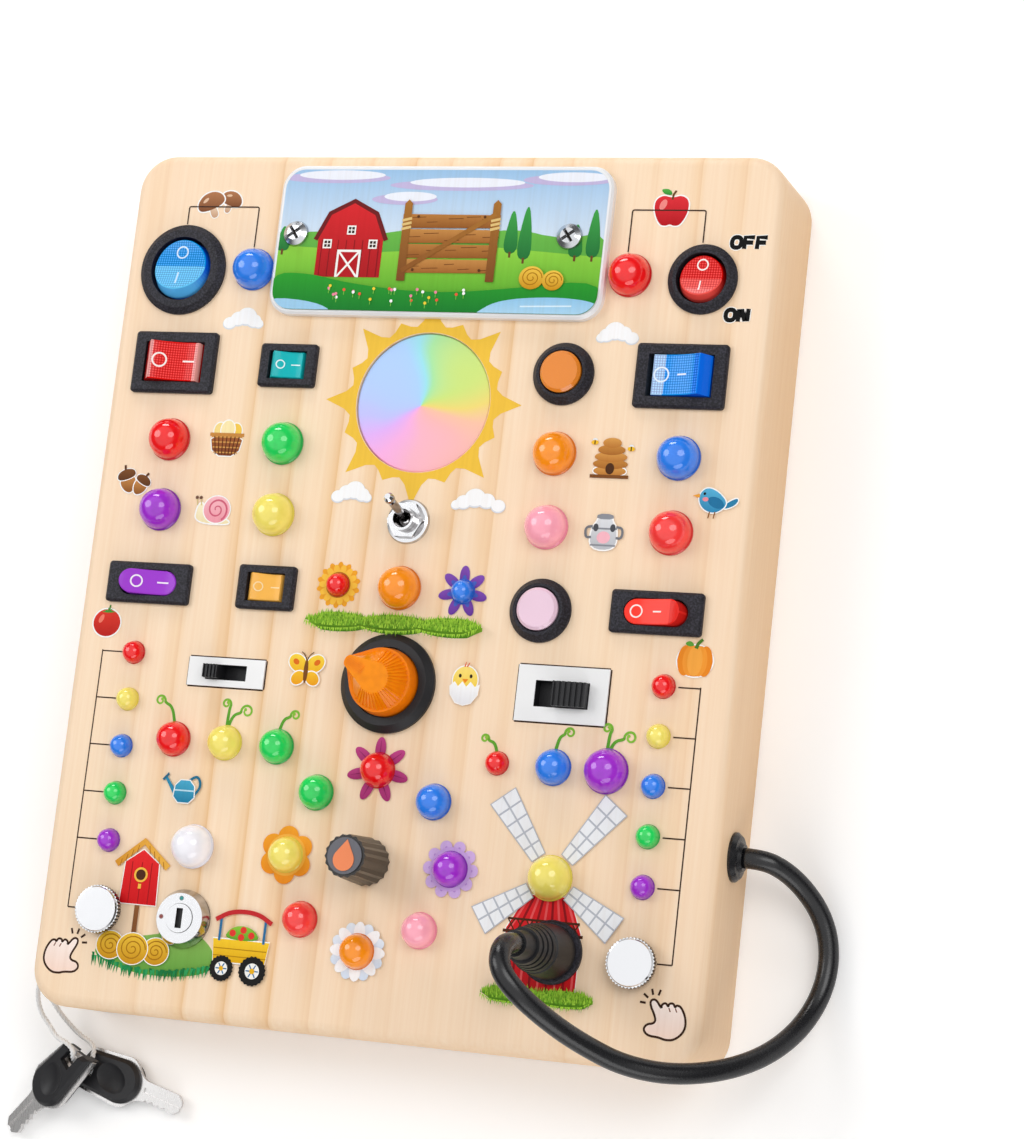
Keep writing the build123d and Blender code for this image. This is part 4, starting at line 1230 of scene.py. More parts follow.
def drawSprouts():
    # green shoots that curl over the lights: foot, where the curl sits, its size and its hand
    look = {"green": ("4f9b2e", "8cc43f"), "wide": 1.15, "tip": 0.6, "bud": 0.55, "open": 1.05,
            "close": 0.62, "wind": 400, "steps": 24}
    shoots = (
        (-75.6, -51.5, -82.0, -43.6, 1.7, 1), (-56.4, -51.5, -57.4, -43.2, 1.5, 1),
        (-56.0, -51.5, -49.6, -45.4, 2.1, -1), (-37.2, -51.5, -31.9, -45.6, 1.6, -1),
        (40.6, -53.5, 35.8, -48.6, 1.3, 1), (60.2, -51.5, 64.6, -44.9, 1.6, -1),
        (77.6, -50.5, 77.0, -42.6, 1.5, 1), (78.2, -50.5, 85.0, -45.2, 2.0, -1),
    )
    sheet = Print("print_sprouts")
    for fx, fy, cx, cy, r, hand in shoots:
        # the stem joins the curl on its far side and the curl winds inwards
        join = cx + hand * r * look["open"]
        stem = [(fx, fy), (fx + 0.35 * (join - fx), fy + 0.75 * (cy - fy)), (join, cy - 0.6), (join, cy)]
        curl = []
        for i in range(1, look["steps"] + 1):
            share = i / look["steps"]
            px, py = polar(0, 0, r * (look["open"] - look["close"] * share), hand * look["wind"] * share)
            curl.append((cx + hand * px, cy + hand * py))
        sheet.stroke(rounded(stem, 3, closed=False) + curl, look["wide"], look["green"], look["tip"])
        sheet.shape(oval(*curl[-1], look["bud"]), look["green"][1])
    sheet.done()


def drawFlowers():
    orange = ("ee8e1c", "f6a52c")
    sheet = Print("print_flowers")
    sheet.aim(-22.3, -1.0)
    sheet.petals(14, 7.9, 1.15, "f2a62a")
    sheet.petals(14, 7.0, 1.1, "fbc544", start=103)
    sheet.shape(oval(0, 0, 4.4), "b9701f")
    sheet.aim(22.3, -1.0)
    sheet.petals(7, 8.7, 1.75, ("6a3a9e", "8450b4"), root=0.2)
    sheet.petals(7, 5.6, 0.9, "4a63c0", root=0.2)
    sheet.shape(oval(0, 0, 4.3), "3d5fc8")
    sheet.aim(0.0, -61.6)
    sheet.petals(7, 11.0, 1.9, ("a32e6e", "c4478c"), root=0.25)
    for i in range(7):
        sheet.stroke([polar(0, 0, reach, 90 + 360 * i / 7) for reach in (6, 9.8)], 0.35, "8d2460", 0.1)
    sheet.aim(-28.8, -91.7)
    for i in range(6):
        sheet.shape(oval(*polar(0, 0, 5.9, 60 * i + 30), 3.7), orange)
    sheet.shape(oval(0, 0, 6.9), "f8b648")
    sheet.aim(29.2, -91.7)
    for i in range(10):
        sheet.shape(oval(*polar(0, 0, 7.4, 36 * i), 2.1), "d2b1e4")
        sheet.shape(oval(*polar(0, 0, 7.2, 36 * i), 0.45), "b78bd2")
    sheet.shape(oval(0, 0, 7.2), "cba6e0")
    sheet.aim(0.4, -120.8)
    sheet.petals(8, 9.7, 2.3, ("d5e4f6", "eaf2fb"), start=112.5, root=0.3)
    sheet.petals(8, 9.7, 2.0, "fdfdfe", root=0.3)
    sheet.done()


grassLook = {"dark": "437f16", "fresh": "6aa825", "light": "a4d340", "every": 0.55, "rows": 7, "half": 0.26}


def grass(sheet, left, right, low, high, clumps):
    # bushy clumps: a lumpy bed under many short blades, with spikes along its edges
    look = grassLook
    middle, half = (low + high) / 2, (high - low) / 2
    wide = right - left
    count = int(wide / look["every"])

    def thick(share):
        along = share * clumps % 1.0
        ends = min(1.0, 9.0 * min(share, 1 - share) + 0.3)
        return half * ends * (0.48 + 0.52 * math.sqrt(math.sin(math.pi * min(max(along, 0.02), 0.98))))

    bed = [(left + wide * i / count, middle + 0.8 * thick(i / count)) for i in range(count + 1)]
    bed += [(left + wide * i / count, middle - 0.8 * thick(i / count)) for i in range(count, -1, -1)]
    sheet.shape(bed, (look["dark"], look["light"]))
    for row in range(look["rows"]):
        # the last row hangs down
        side = 1 if row < look["rows"] - 1 else -1
        for i in range(count):
            share = (i + random.random()) / count
            x = left + wide * share
            foot = middle + thick(share) * (0.66 - 0.22 * row)
            tip = foot + side * random.uniform(0.9, 2.1)
            tone = random.choice((look["dark"], look["light"], look["fresh"]))
            blade = [(x - look["half"] * side, foot), (x + look["half"] * side, foot),
                     (x + random.uniform(-0.6, 0.6), tip)]
            sheet.shape(blade, (tone, look["light"]))


def drawFruit():
    sheet = Print("print_fruit")
    # two mushrooms
    stem = rounded([(-1.4, -4.6), (1.5, -4.7), (1.2, 0), (-1.1, 0)], 2)
    cap = rounded([(-5.2, -0.6), (-5.0, 2.6), (-2.0, 4.9), (2.0, 4.9), (5.0, 2.6), (5.2, -0.6), (0, -1.6)])
    for x, y, size, turn in ((-80.6, 131.0, 0.82, -18), (-87.4, 129.8, 1.0, 24)):
        sheet.aim(x, y, size, turn)
        sheet.shape(cap, "8c5a3a", halo=0.5)
        sheet.shape(stem, ("c79a78", "ecd0b4"), halo=0.3)
        sheet.shape(cap, ("7c4a2c", "b37952"))
        sheet.shape(oval(-1.6, 2.7, 1.3, 0.55, 20), "e3bf9f")
    # an apple
    sheet.aim(79.6, 129.4)
    apple = [(0, 4.2), (3.2, 5.2), (5.9, 3.4), (5.8, -0.8), (3.6, -5.0), (1.4, -5.4), (0, -4.7),
             (-1.4, -5.4), (-3.6, -5.0), (-5.8, -0.8), (-5.9, 3.4), (-3.2, 5.2)]
    sheet.shape(rounded(apple), ("b3121c", "e0303a"), halo=0.5)
    sheet.shape(oval(-2.9, 1.9, 1.1, 1.9, -24), "f08a86")
    sheet.stroke([(0, 3.6), (0.3, 5.4), (1.1, 6.7)], 0.7, "6b4423")
    sheet.shape(rounded([(0.2, 5.2), (-1.2, 7.4), (-4.4, 7.2), (-2.6, 5.2)], 2), ("2f8a34", "57b14a"))
    # a tomato
    sheet.aim(-106.2, -18.4)
    sheet.shape(oval(0, 0, 5.1, 4.7), ("b41a14", "e0382a"), halo=0.5)
    sheet.shape(oval(-2.2, 1.3, 0.8, 1.6, -25), "ef7a66")
    for turn in (20, 62, 100, 138, 165):
        c, s = polar(0, 0, 1, turn)
        sepal = [(0.3 - 0.5 * s, 3.9 + 0.5 * c), (0.3 + 0.5 * s, 3.9 - 0.5 * c),
                 (0.3 + 2.9 * c, 3.1 + 2.2 * s)]
        sheet.shape(sepal, "3f9a3a")
    sheet.stroke([(0.3, 3.8), (0.6, 6.2)], 0.8, "4c8a34", 0.5)
    # a pumpkin
    sheet.aim(103.6, -19.2)
    sheet.shape(oval(0, 0, 5.9, 5.0), "e27a1a", halo=0.5)
    for shift, tone in ((-3.3, "ec8a24"), (3.3, "ec8a24"), (-1.6, "f39a34"), (1.6, "f39a34"),
                        (0, "f7a844")):
        sheet.shape(oval(shift, 0, 2.5, 4.9), tone)
    sheet.stroke(rounded([(0, 4.0), (0.6, 5.8), (2.0, 7.0)], 2, closed=False), 1.3, "4d7c2a", 0.9)
    sheet.shape(rounded([(-0.4, 5.0), (-2.2, 6.6), (-4.0, 5.4), (-2.2, 4.4)], 2), "5ea03a")
    sheet.done()


def drawGrass():
    sheet = Print("print_grass")
    grass(sheet, -31.5, 30.5, -17.4, -9.2, clumps=3)
    sheet.done()


def basket(sheet):
    for dx, dy, turn, tone in ((-2.6, 2.8, 12, "f7dc8a"), (2.7, 2.7, -14, "f4c94e"), (0, 3.6, 0, "fbe9b0")):
        sheet.shape(oval(dx, dy, 2.5, 3.3, turn), tone, halo=0.4)
    sheet.shape(rounded([(-6.2, 2.0), (6.2, 2.0), (4.6, -5.4), (-4.6, -5.4)], 1), ("7a3f22", "a9602f"),
                halo=0.4)
    for i in range(4):
        level, half = 1.8 * i - 4.3, 4.5 + 0.42 * i
        sheet.stroke([(-half, level), (half, level)], 0.45, "d49a4e")
    for i in range(-3, 4):
        sheet.stroke([(i * 1.2, -5.0), (i * 1.55, 1.6)], 0.4, "5e2e18")
    sheet.stroke([(-6.4, 1.9), (6.4, 1.9)], 1.2, "c98a42")


def acorn(sheet):
    nut = rounded([(-3.0, 0.6), (-2.6, -3.2), (0, -5.6), (2.6, -3.2), (3.0, 0.6)])
    cup = rounded([(-3.6, 0.2), (-3.2, 2.6), (0, 3.6), (3.2, 2.6), (3.6, 0.2), (0, -0.4)])
    sheet.shape(nut, ("8a5220", "c98a4a"), halo=0.4)
    sheet.shape(cup, ("5a3317", "7d4c24"), halo=0.3)
    sheet.stroke([(0, 3.2), (0.3, 4.9)], 0.8, "5a3317")


def snail(sheet):
    body = rounded([(-6.8, -3.6), (-6.4, 1.6), (-5.2, 3.4), (-4.0, 2.6), (-3.8, -0.6), (4.0, -1.6),
                    (7.4, -3.8)])
    sheet.shape(body, ("f0dfae", "fbf1cf"), halo=0.5)
    sheet.shape(oval(1.0, 1.2, 4.9, 4.6), ("ee9aa8", "f7bcc4"), halo=0.4)
    sheet.stroke(coil(1.0, 1.2, 4.1, 40, 16, start=-60), 0.75, "d4617a", 0.4)
    for dx in (-6.4, -4.9):
        sheet.stroke([(dx, 2.4), (dx - 0.5, 5.0)], 0.45, "d9c58c")
        sheet.shape(oval(dx - 0.5, 5.1, 0.6), "6b4a3a")


def beehive(sheet):
    for level, half in enumerate((5.6, 6.0, 5.6, 4.7, 3.2)):
        tone = ("a8672a", "c98a3e") if level % 2 else ("b87431", "d99c4e")
        sheet.shape(oval(0, 2.35 * level - 4.2, half, 1.7), tone, halo=0.4 if level == 0 else 0.0)
    sheet.shape(oval(0, -3.4, 1.5, 1.9), "4a2a14")
    sheet.stroke([(-6.6, -6.0), (6.6, -6.0)], 1.1, "7c4a22")
    for x, y in ((6.6, 3.4), (-6.0, 5.2)):
        sheet.shape(oval(x, y + 0.7, 0.9, 0.7), "e8eef6")
        sheet.shape(oval(x, y, 1.25, 0.8), "f4bf2e")
        sheet.stroke([(x, y - 0.7), (x, y + 0.7)], 0.4, "2b2118")


def milkCan(sheet):
    can = [(-4.4, -6.0), (4.4, -6.0), (4.4, 0.8), (2.6, 3.2), (2.4, 4.4), (-2.4, 4.4), (-2.6, 3.2),
           (-4.4, 0.8)]
    sheet.shape(rounded(can, 2), ("b9bcc2", "dfe1e5"), halo=0.5)
    sheet.shape(rounded([(-3.0, 4.0), (3.0, 4.0), (2.6, 5.8), (-2.6, 5.8)], 1), "8d9097")
    for level in (-4.6, 0.9):
        sheet.stroke([(-4.3, level), (4.3, level)], 0.6, "8d9097")
    sheet.shape(oval(0, -2.0, 2.3, 2.0), "f7b8c4")
    for side in (-1, 1):
        handle = [(side * 4.0, 1.6), (side * 6.4, 1.2), (side * 6.2, -2.2), (side * 4.2, -2.0)]
        sheet.stroke(rounded(handle, 2, closed=False), 0.8, "77797f")
        sheet.shape(oval(side * 2.9, 1.2, 0.9, 1.3), "4c4e54")


def bird(sheet):
    sheet.shape(rounded([(3.6, -1.0), (8.4, 1.8), (8.0, -0.8), (3.8, -2.6)], 2), "2c7fa8", halo=0.4)
    body = rounded([(-5.2, 1.6), (-2.4, 4.8), (2.0, 3.0), (5.2, -0.8), (1.0, -4.2), (-3.6, -2.6)])
    sheet.shape(body, ("2f86b4", "58b2d8"), halo=0.4)
    sheet.shape(oval(1.0, -0.4, 2.9, 1.7, -24), "2473a0")
    sheet.shape([(-4.6, 2.4), (-7.0, 1.6), (-4.5, 1.0)], "f0a63a")
    sheet.shape(oval(-3.0, 2.4, 0.45), "1b1b1b")
    sheet.shape(oval(-2.6, 0.6, 1.0, 0.7), "f2929e")
    for dx in (-0.8, 1.0):
        sheet.stroke([(dx, -3.4), (dx - 0.4, -5.6)], 0.4, "8a5a2a")


def wateringCan(sheet):
    sheet.stroke(rounded([(1.6, 2.6), (4.6, 4.6), (6.4, 1.0), (3.4, -3.0)], closed=False), 0.9, "22708f")
    sheet.stroke([(-2.8, -2.2), (-7.0, 3.4)], 1.5, "2f8fb4", 0.9)
    sheet.shape([(-8.3, 2.6), (-6.2, 5.0), (-5.8, 4.2), (-7.6, 2.0)], "1f6888")
    sheet.shape(rounded([(-3.6, -4.8), (4.2, -4.8), (3.6, 2.6), (-3.0, 2.6)], 1), ("1f7fa6", "4aaccf"),
                halo=0.4)
    sheet.stroke([(-3.3, -0.8), (3.8, -0.8)], 0.5, "bfe3f0")


def butterfly(sheet):
    for side in (-1, 1):
        sheet.shape(oval(side * 3.2, 2.6, 3.4, 2.7, side * 36), ("f2b51e", "fbd945"), halo=0.4)
        sheet.shape(oval(side * 2.6, -2.4, 2.6, 2.1, side * -38), ("ee9f1a", "f7c22e"), halo=0.4)
        sheet.shape(oval(side * 3.8, 3.0, 1.2, 0.9, side * 36), "e2701c")
        feeler = [(0, 3.2), (side * 0.8, 5.4), (side * 2.2, 6.4)]
        sheet.stroke(rounded(feeler, 2, closed=False), 0.3, "5a3a1c")
    sheet.shape(oval(0, 0, 0.8, 4.0), "7a4a1e")


def chick(sheet):
    # in the lower half of its shell
    sheet.shape(oval(0, 1.2, 4.3, 4.6), ("f7cf3a", "fde27a"), halo=0.4)
    sheet.shape([(-1.1, 1.6), (1.1, 1.6), (0, 0.2)], "ee8a22")
    for side in (-1, 1):
        sheet.shape(oval(side * 1.9, 2.6, 0.5, 0.65), "2a2118")
    shell = [(-5.0, -1.0), (-3.6, 0.4), (-2.3, -1.2), (-0.9, 0.5), (0.6, -1.2), (2.0, 0.5), (3.5, -1.1),
             (5.0, 0.0), (4.6, -3.4), (2.6, -6.2), (0, -6.9), (-2.6, -6.2), (-4.6, -3.6)]
    sheet.shape(shell, ("e6e6ea", "fdfdfd"), halo=0.3)
    sheet.stroke([(-0.6, 5.6), (-0.2, 7.2)], 0.5, "e05a3a", 0.2)
    sheet.stroke([(0.2, 5.6), (1.0, 7.0)], 0.5, "e05a3a", 0.2)


# each small picture with its place, and its size and turn where it has them
motifs = (
    (basket, -70.2, 46.8), (acorn, -105.8, 32.0, 1.0, 20), (acorn, -100.0, 30.6, 0.86, -28),
    (snail, -71.4, 21.4), (beehive, 68.2, 45.4), (milkCan, 68.6, 21.2), (bird, 104.2, 32.6),
    (wateringCan, -69.0, -72.6), (butterfly, -30.0, -30.6), (chick, 26.8, -31.4),
)


def drawMotifs():
    sheet = Print("print_motifs")
    for motif, *place in motifs:
        sheet.aim(*place)
        motif(sheet)
    sheet.done()


handLook = {
    "lean": 34, "line": 0.72, "ink": "3b2418", "skin": ("fbdccb", "fff0e8"), "crease": "8a5a48",
    "outline": [(-1.5, 7.2), (0.9, 7.2), (1.1, 3.2), (1.6, 4.4), (3.2, 4.4), (3.3, 2.7), (3.9, 3.6),
                (5.3, 3.0), (5.1, 1.5), (5.9, 2.0), (7.0, 0.8), (6.6, -3.2), (4.4, -6.4), (0.2, -7.2),
                (-2.6, -5.6), (-3.8, -4.0), (-6.8, -1.8), (-7.2, 0.6), (-5.4, 1.5), (-3.2, 0.5),
                (-1.9, 1.5)],
}


def pressHand(sheet, x, y, side, look):
    # a pointing hand with short rays round its fingertip
    sheet.aim(x, y, 1.0, side * look["lean"])
    hand = [(side * a, b) for a, b in rounded(look["outline"], 2)]
    sheet.shape(hand, look["skin"])
    sheet.stroke(hand, look["line"], look["ink"], closed=True)
    for joint, high in ((3.3, 2.4), (5.1, 1.3)):
        sheet.stroke([(side * joint, high), (side * (joint - 0.2), high - 1.3)], 0.4, look["crease"])
    for turn in (38, 72, 108, 142):
        ray = [polar(-0.2 * side, 5.6, reach, turn) for reach in (3.0, 4.9)]
        sheet.stroke(ray, 0.7, look["ink"])


def drawHands():
    sheet = Print("print_hands")
    pressHand(sheet, -105.6, -131.6, -1, handLook)
    pressHand(sheet, 105.4, -132.4, 1, handLook)
    sheet.done()


def birdhouse(sheet):
    sheet.stroke([(0, -21.4), (0, -5.4)], 1.7, ("7a4a26", "8f5a30"))
    front = [(-6.8, -9.8), (6.8, -9.8), (6.2, 4.0), (0, 8.4), (-6.2, 4.0)]
    sheet.shape(front, ("cf1218", "e8262a"), halo=0.4)
    for x in (-3.6, 0, 3.6):
        sheet.stroke([(x, -9.6), (x, 4.2)], 0.35, "a30d14")
    sheet.stroke([(-9.6, 3.0), (0, 11.2), (9.6, 3.0)], 2.3, ("d9952e", "f0b64a"))
    for share in (0.2, 0.4, 0.6, 0.8):
        for side in (-1, 1):
            x, y = side * 9.6 * share, 11.4 - 8.2 * share
            sheet.stroke([(x, y), (x + side * 0.5, y - 2.4)], 0.3, "b06f1a")
    sheet.shape(oval(0, 0, 2.5), "f5c04a")
    sheet.shape(oval(0, 0, 1.8), "4a2412")
    sheet.stroke([(0, -4.6), (0, -3.0)], 1.1, "f5c04a")


def wagon(sheet):
    sheet.shape([(-9.0, -3.2), (9.6, -3.2), (10.6, 4.2), (-9.8, 4.2)], ("e0a90e", "f7ca2c"), halo=0.4)
    for level in (-1.2, 1.2):
        sheet.stroke([(-9.2, level), (9.9, level)], 0.35, "b5850a")
    for x in (-7.6, 8.4):
        sheet.stroke([(x, 3.6), (x, 11.4)], 0.9, "2b6e9e")
    roof = [(-9.6, 10.4), (-4, 13.6), (5, 13.6), (10.6, 10.4)]
    sheet.stroke(rounded(roof, closed=False), 1.5, "c22a2e")
    load = [(-6.2, 4.2), (-4.0, 8.0), (0.4, 9.2), (5.0, 7.8), (7.2, 4.2)]
    sheet.shape(rounded(load, 2), ("5f9e2c", "8cc63a"))
    for x, y in ((-3.0, 6.4), (0.8, 7.6), (3.8, 6.0), (0.2, 5.2)):
        sheet.shape(oval(x, y, 1.15), "e23a30")
    for x, r in ((-5.6, 4.0), (5.6, 4.6)):
        wheel = (x, -5.4)
        sheet.fan(*wheel, [polar(*wheel, r + 0.35 * (i % 2), 9 * i) for i in range(40)], "161616")
        sheet.shape(oval(*wheel, r * 0.56), "f6f6f2")
        for i in range(6):
            sheet.stroke([wheel, polar(*wheel, r * 0.5, 60 * i)], 0.4, "2b6e9e")
        sheet.shape(oval(*wheel, r * 0.2), "eab21c")


def drawYard():
    # a birdhouse over round hay bales on a green mound, and a yellow wagon
    sheet = Print("print_yard")
    mound = [(-97, -129), (-86, -124.5), (-70, -121), (-58, -119.4), (-50, -125.6), (-50, -132.6),
             (-66, -135.6), (-84, -134.6)]
    sheet.shape(rounded(mound), ("5f9e3c", "8fbe5c"))
    tufts = 58
    for i in range(tufts):
        share = i / (tufts - 1)
        x = -95 + 45 * share + random.uniform(-0.4, 0.4)
        foot = -131.6 - 3.6 * math.sin(math.pi * share) + random.uniform(-0.3, 0.6)
        tone = random.choice(("1e8a4c", "2fa05a", "14743c"))
        tuft = [(x - 0.5, foot + 1.6), (x + 0.5, foot + 1.6), (x + random.uniform(-1.0, 1.0), foot - 2.2)]
        sheet.shape(tuft, tone)
    sheet.aim(-80.6, -102.6)
    birdhouse(sheet)
    for x, y, r in ((-88.6, -126.6, 5.0), (-71.6, -127.4, 4.8), (-80.2, -127.2, 5.6)):
        sheet.aim(x, y)
        sheet.shape(oval(0, 0, r, r * 0.92), ("c98e12", "eec13a"), halo=0.3)
        sheet.stroke(coil(0, 0, r - 0.7, 44, 20, flat=0.92), 0.4, "a8720c")
    sheet.aim(-41.4, -125.2)
    wagon(sheet)
    sheet.done()


def paneOfGlass(sheet, x, y, wide, high, rim, bar, glass):
    # a window in a white frame, with a white cross over it
    white = "f6f4f0"
    sheet.shape(box(x, y, wide + rim, high + rim), white)
    sheet.shape(box(x, y, wide, high), glass)
    sheet.stroke([(x, y - high), (x, y + high)], bar, white)
    sheet.stroke([(x - wide, y), (x + wide, y)], bar, white)


def drawMill():
    # lattice sails round the yellow light over a red tower
    look = {"centre": (63.4, -91.7), "near": 7.8, "root": 2.7, "tip": 5.1, "panes": 5, "bar": 0.3,
            "rim": 0.35, "white": "f0f1f4", "frame": "b9bcc6", "timber": "4a2412",
            "sails": ((127.5, 31.5), (52.0, 31.5), (214.0, 27.5), (327.5, 27.5))}
    sheet = Print("print_mill")
    tower = [(49.8, -128.6), (75.4, -128.6), (75.4, -108.6), (70.6, -97.4), (56.2, -97.4), (50.2, -108.6)]
    sheet.shape(tower, ("c8141c", "e02228"), halo=0.3)
    for i in range(9):
        foot, top = 51.4 + 2.85 * i, 57.0 + 1.6 * i
        sheet.stroke([(foot, -128.4), (foot, -109.0), (top, -98.0)], 0.75, "8f0d16" if i % 2 else "ee5a5c")
    sheet.stroke([(49.2, -109.4), (76.2, -109.4)], 1.0, look["timber"])
    sheet.stroke([(50.6, -105.4), (74.8, -105.4)], 0.7, look["timber"])
    for i in range(8):
        left = 50.6 + 3.1 * i
        sheet.stroke([(left, -109.2), (left + 2.4, -105.4)], 0.4, look["timber"])
        sheet.stroke([(left + 2.4, -109.2), (left, -105.4)], 0.4, look["timber"])
    for x in (71.6, 53.0):
        paneOfGlass(sheet, x, -114.2, 1.3, 1.8, 0.6, 0.35, "241c18")
    near, root, tip, bar = (look[part] for part in ("near", "root", "tip", "bar"))
    for turn, reach in look["sails"]:
        sheet.aim(*look["centre"], 1.0, turn)
        sheet.shape([(near, -root), (reach, -tip), (reach, tip), (near, root)], look["frame"])
        long = reach - near
        for pane in range(look["panes"]):
            a = near + long * pane / look["panes"] + bar
            b = near + long * (pane + 1) / look["panes"] - bar
            halfA, halfB = (root + (tip - root) * (end - near) / long - look["rim"] for end in (a, b))
            for side in (-1, 1):
                sheet.shape([(a, side * bar), (b, side * bar), (b, side * halfB), (a, side * halfA)],
                            look["white"])
    sheet.aim(0, 0)
    grass(sheet, 45.0, 82.0, -132.8, -126.0, clumps=2)
    sheet.done()


def roundedWindow(x, y, wide, high, corner, count=8):
    points = []
    for cx, cy, start in ((1, -1, -90), (1, 1, 0), (-1, 1, 90), (-1, -1, 180)):
        middle = (x + cx * (wide / 2 - corner), y + cy * (high / 2 - corner))
        points += [polar(*middle, corner, start + 90 * i / count) for i in range(count + 1)]
    return points


def barn(sheet):
    front = [(-44, 104), (-20, 104), (-20, 118), (-24, 126), (-32, 130), (-40, 126), (-44, 118)]
    sheet.shape(front, ("a8141c", "d8262c"))
    sheet.stroke([(-45, 117), (-40.6, 126.4), (-32, 130.8), (-23.4, 126.4), (-19, 117)], 1.6, "6c1a1c")
    for i in range(8):
        sheet.stroke([(-42.4 + 3 * i, 104.2), (-42.4 + 3 * i, 117)], 0.3, "7f0f16")
    sheet.shape(box(-32, 108.8, 4.4, 4.8), "f6f4f0")
    sheet.shape(box(-32, 108.4, 3.6, 4.4), "b3161e")
    sheet.stroke([(-35.6, 104.2), (-28.4, 112.8)], 0.7, "f6f4f0")
    sheet.stroke([(-28.4, 104.2), (-35.6, 112.8)], 0.7, "f6f4f0")
    for x, y in ((-40.4, 115.6), (-32, 120.5), (-23.6, 115.6)):
        paneOfGlass(sheet, x, y, 1.1, 1.1, 0.5, 0.3, "3a2a26")


def gate(sheet):
    tones = (("9c5f28", "c58a48"), ("8f5522", "b87b3c"))
    for i, level in enumerate((108.2, 113.4, 118.6, 123.8)):
        rail = [(-13.4, level - 2.4), (21.4, level - 2.2), (21.6, level + 2.3), (-13.6, level + 2.5)]
        sheet.shape(rail, tones[i % 2])
        for grain in range(5):
            start = -12 + 6.6 * grain + random.uniform(0, 2)
            rise = level + random.uniform(-1.5, 1.5)
            sheet.stroke([(start, rise), (start + random.uniform(3, 6), rise + 0.2)], 0.25, "6f3f18")
    for x in (-12.0, 20.0):
        post = [(x - 1.5, 103), (x + 1.5, 103), (x + 1.4, 130), (x, 131.4), (x - 1.4, 130)]
        sheet.shape(post, ("7a4820", "a8702f"))
        for turn in range(3):
            sheet.stroke([(x - 1.7, 121 + 1.5 * turn), (x + 1.7, 121.8 + 1.5 * turn)], 0.9, "e0c07a")
    sheet.stroke([(-12, 106.5), (20, 126.5)], 1.7, ("8a5424", "a8702f"))
    for x, y in ((-8, 106.9), (16, 106.9), (-8, 125.4), (16, 125.4)):
        sheet.shape(oval(x, y, 0.5), "5a3417")


def drawPlatePicture():
    # a farm landscape on the cover: sky, hills, trees, a red barn, a timber gate and ponds
    look = {"centre": (0.0, 117.2), "size": (117.0, 49.5), "corner": 6.8, "top": 40.3 * mm,
            "beyond": (60, 26), "petals": ("fdfdfd", "f7d23a", "f08aa4", "ee5a3a")}
    x, y = look["centre"]
    wide, high = look["beyond"]
    left, right, low = x - wide, x + wide, y - high
    window = roundedWindow(x, y, *look["size"], look["corner"])
    sheet = Print("print_landscape", base=look["top"], window=window)
    sheet.shape(box(x, y, wide, high), ("ffffff", "9cc3e6"))
    for cx, cy, half in ((-40, 139, 20), (6, 136.5, 26), (44, 138.5, 16), (-14, 131.5, 12)):
        sheet.shape(oval(cx, cy, half, 1.9), "c3b7dd")
        sheet.shape(oval(cx + 2, cy + 1.0, half * 0.8, 1.7), "eef1fa")
    hills = [(left, 116), (-46, 121), (-30, 117), (-12, 121.5), (6, 118), (26, 122), (44, 118),
             (right, 121), (right, 104), (left, 104)]
    sheet.shape(rounded(hills, 2), ("4a9a3a", "6cb84a"))
    sheet.shape([(left, low), (right, low), (right, 112), (22, 115), (-20, 113), (left, 115)],
                ("3c9a22", "8fd044"))
    for x, y, tall in ((26, 113, 17), (31, 111, 21), (55, 112, 19), (49, 112, 13), (-57, 113, 10)):
        tree = [(x - 2.6, y), (x - 2.2, y + 0.45 * tall), (x, y + tall), (x + 2.2, y + 0.45 * tall),
                (x + 2.6, y)]
        sheet.shape(rounded(tree, 2), ("1f6f35", "3fa048"))
        sheet.stroke([(x, y - 1.4), (x, y + 0.6)], 0.8, "6b4423")
    barn(sheet)
    gate(sheet)
    ground = [(left, low), (right, low), (right, 104.6), (30, 101), (0, 98.6), (-30, 101.6), (-46, 105.2),
              (left, 105)]
    sheet.shape(rounded(ground, 2), ("137a2a", "2b9c2c"))
    pond = [(16, 92), (24, 97.0), (44, 98.4), (right, 96.6), (right, low), (16, low)]
    sheet.shape(rounded(pond), ("a9d4ee", "8fc4e8"))
    sheet.stroke([(32, 94.8), (50, 95.2)], 0.5, "d9eefa")
    sheet.shape(rounded([(left, low), (-34, low), (-42, 95.2), (left, 96.6)], 2), "9ccbea")
    for i in range(26):
        x, y = random.uniform(-40, 14), random.uniform(93.5, 99)
        sheet.stroke([(x, y), (x, y + 1.5)], 0.25, "7cc24a")
        sheet.shape(oval(x, y + 1.8, 0.55, count=10), random.choice(look["petals"]))
    for x, y, r in ((35, 104.6, 4.4), (42.6, 103.8, 3.8)):
        sheet.shape(oval(x, y, r, r * 0.9), ("c98e12", "f0c64a"))
        sheet.stroke(coil(x, y, r - 0.6, 36, 22, flat=0.9), 0.35, "a8720c")
    sheet.done()


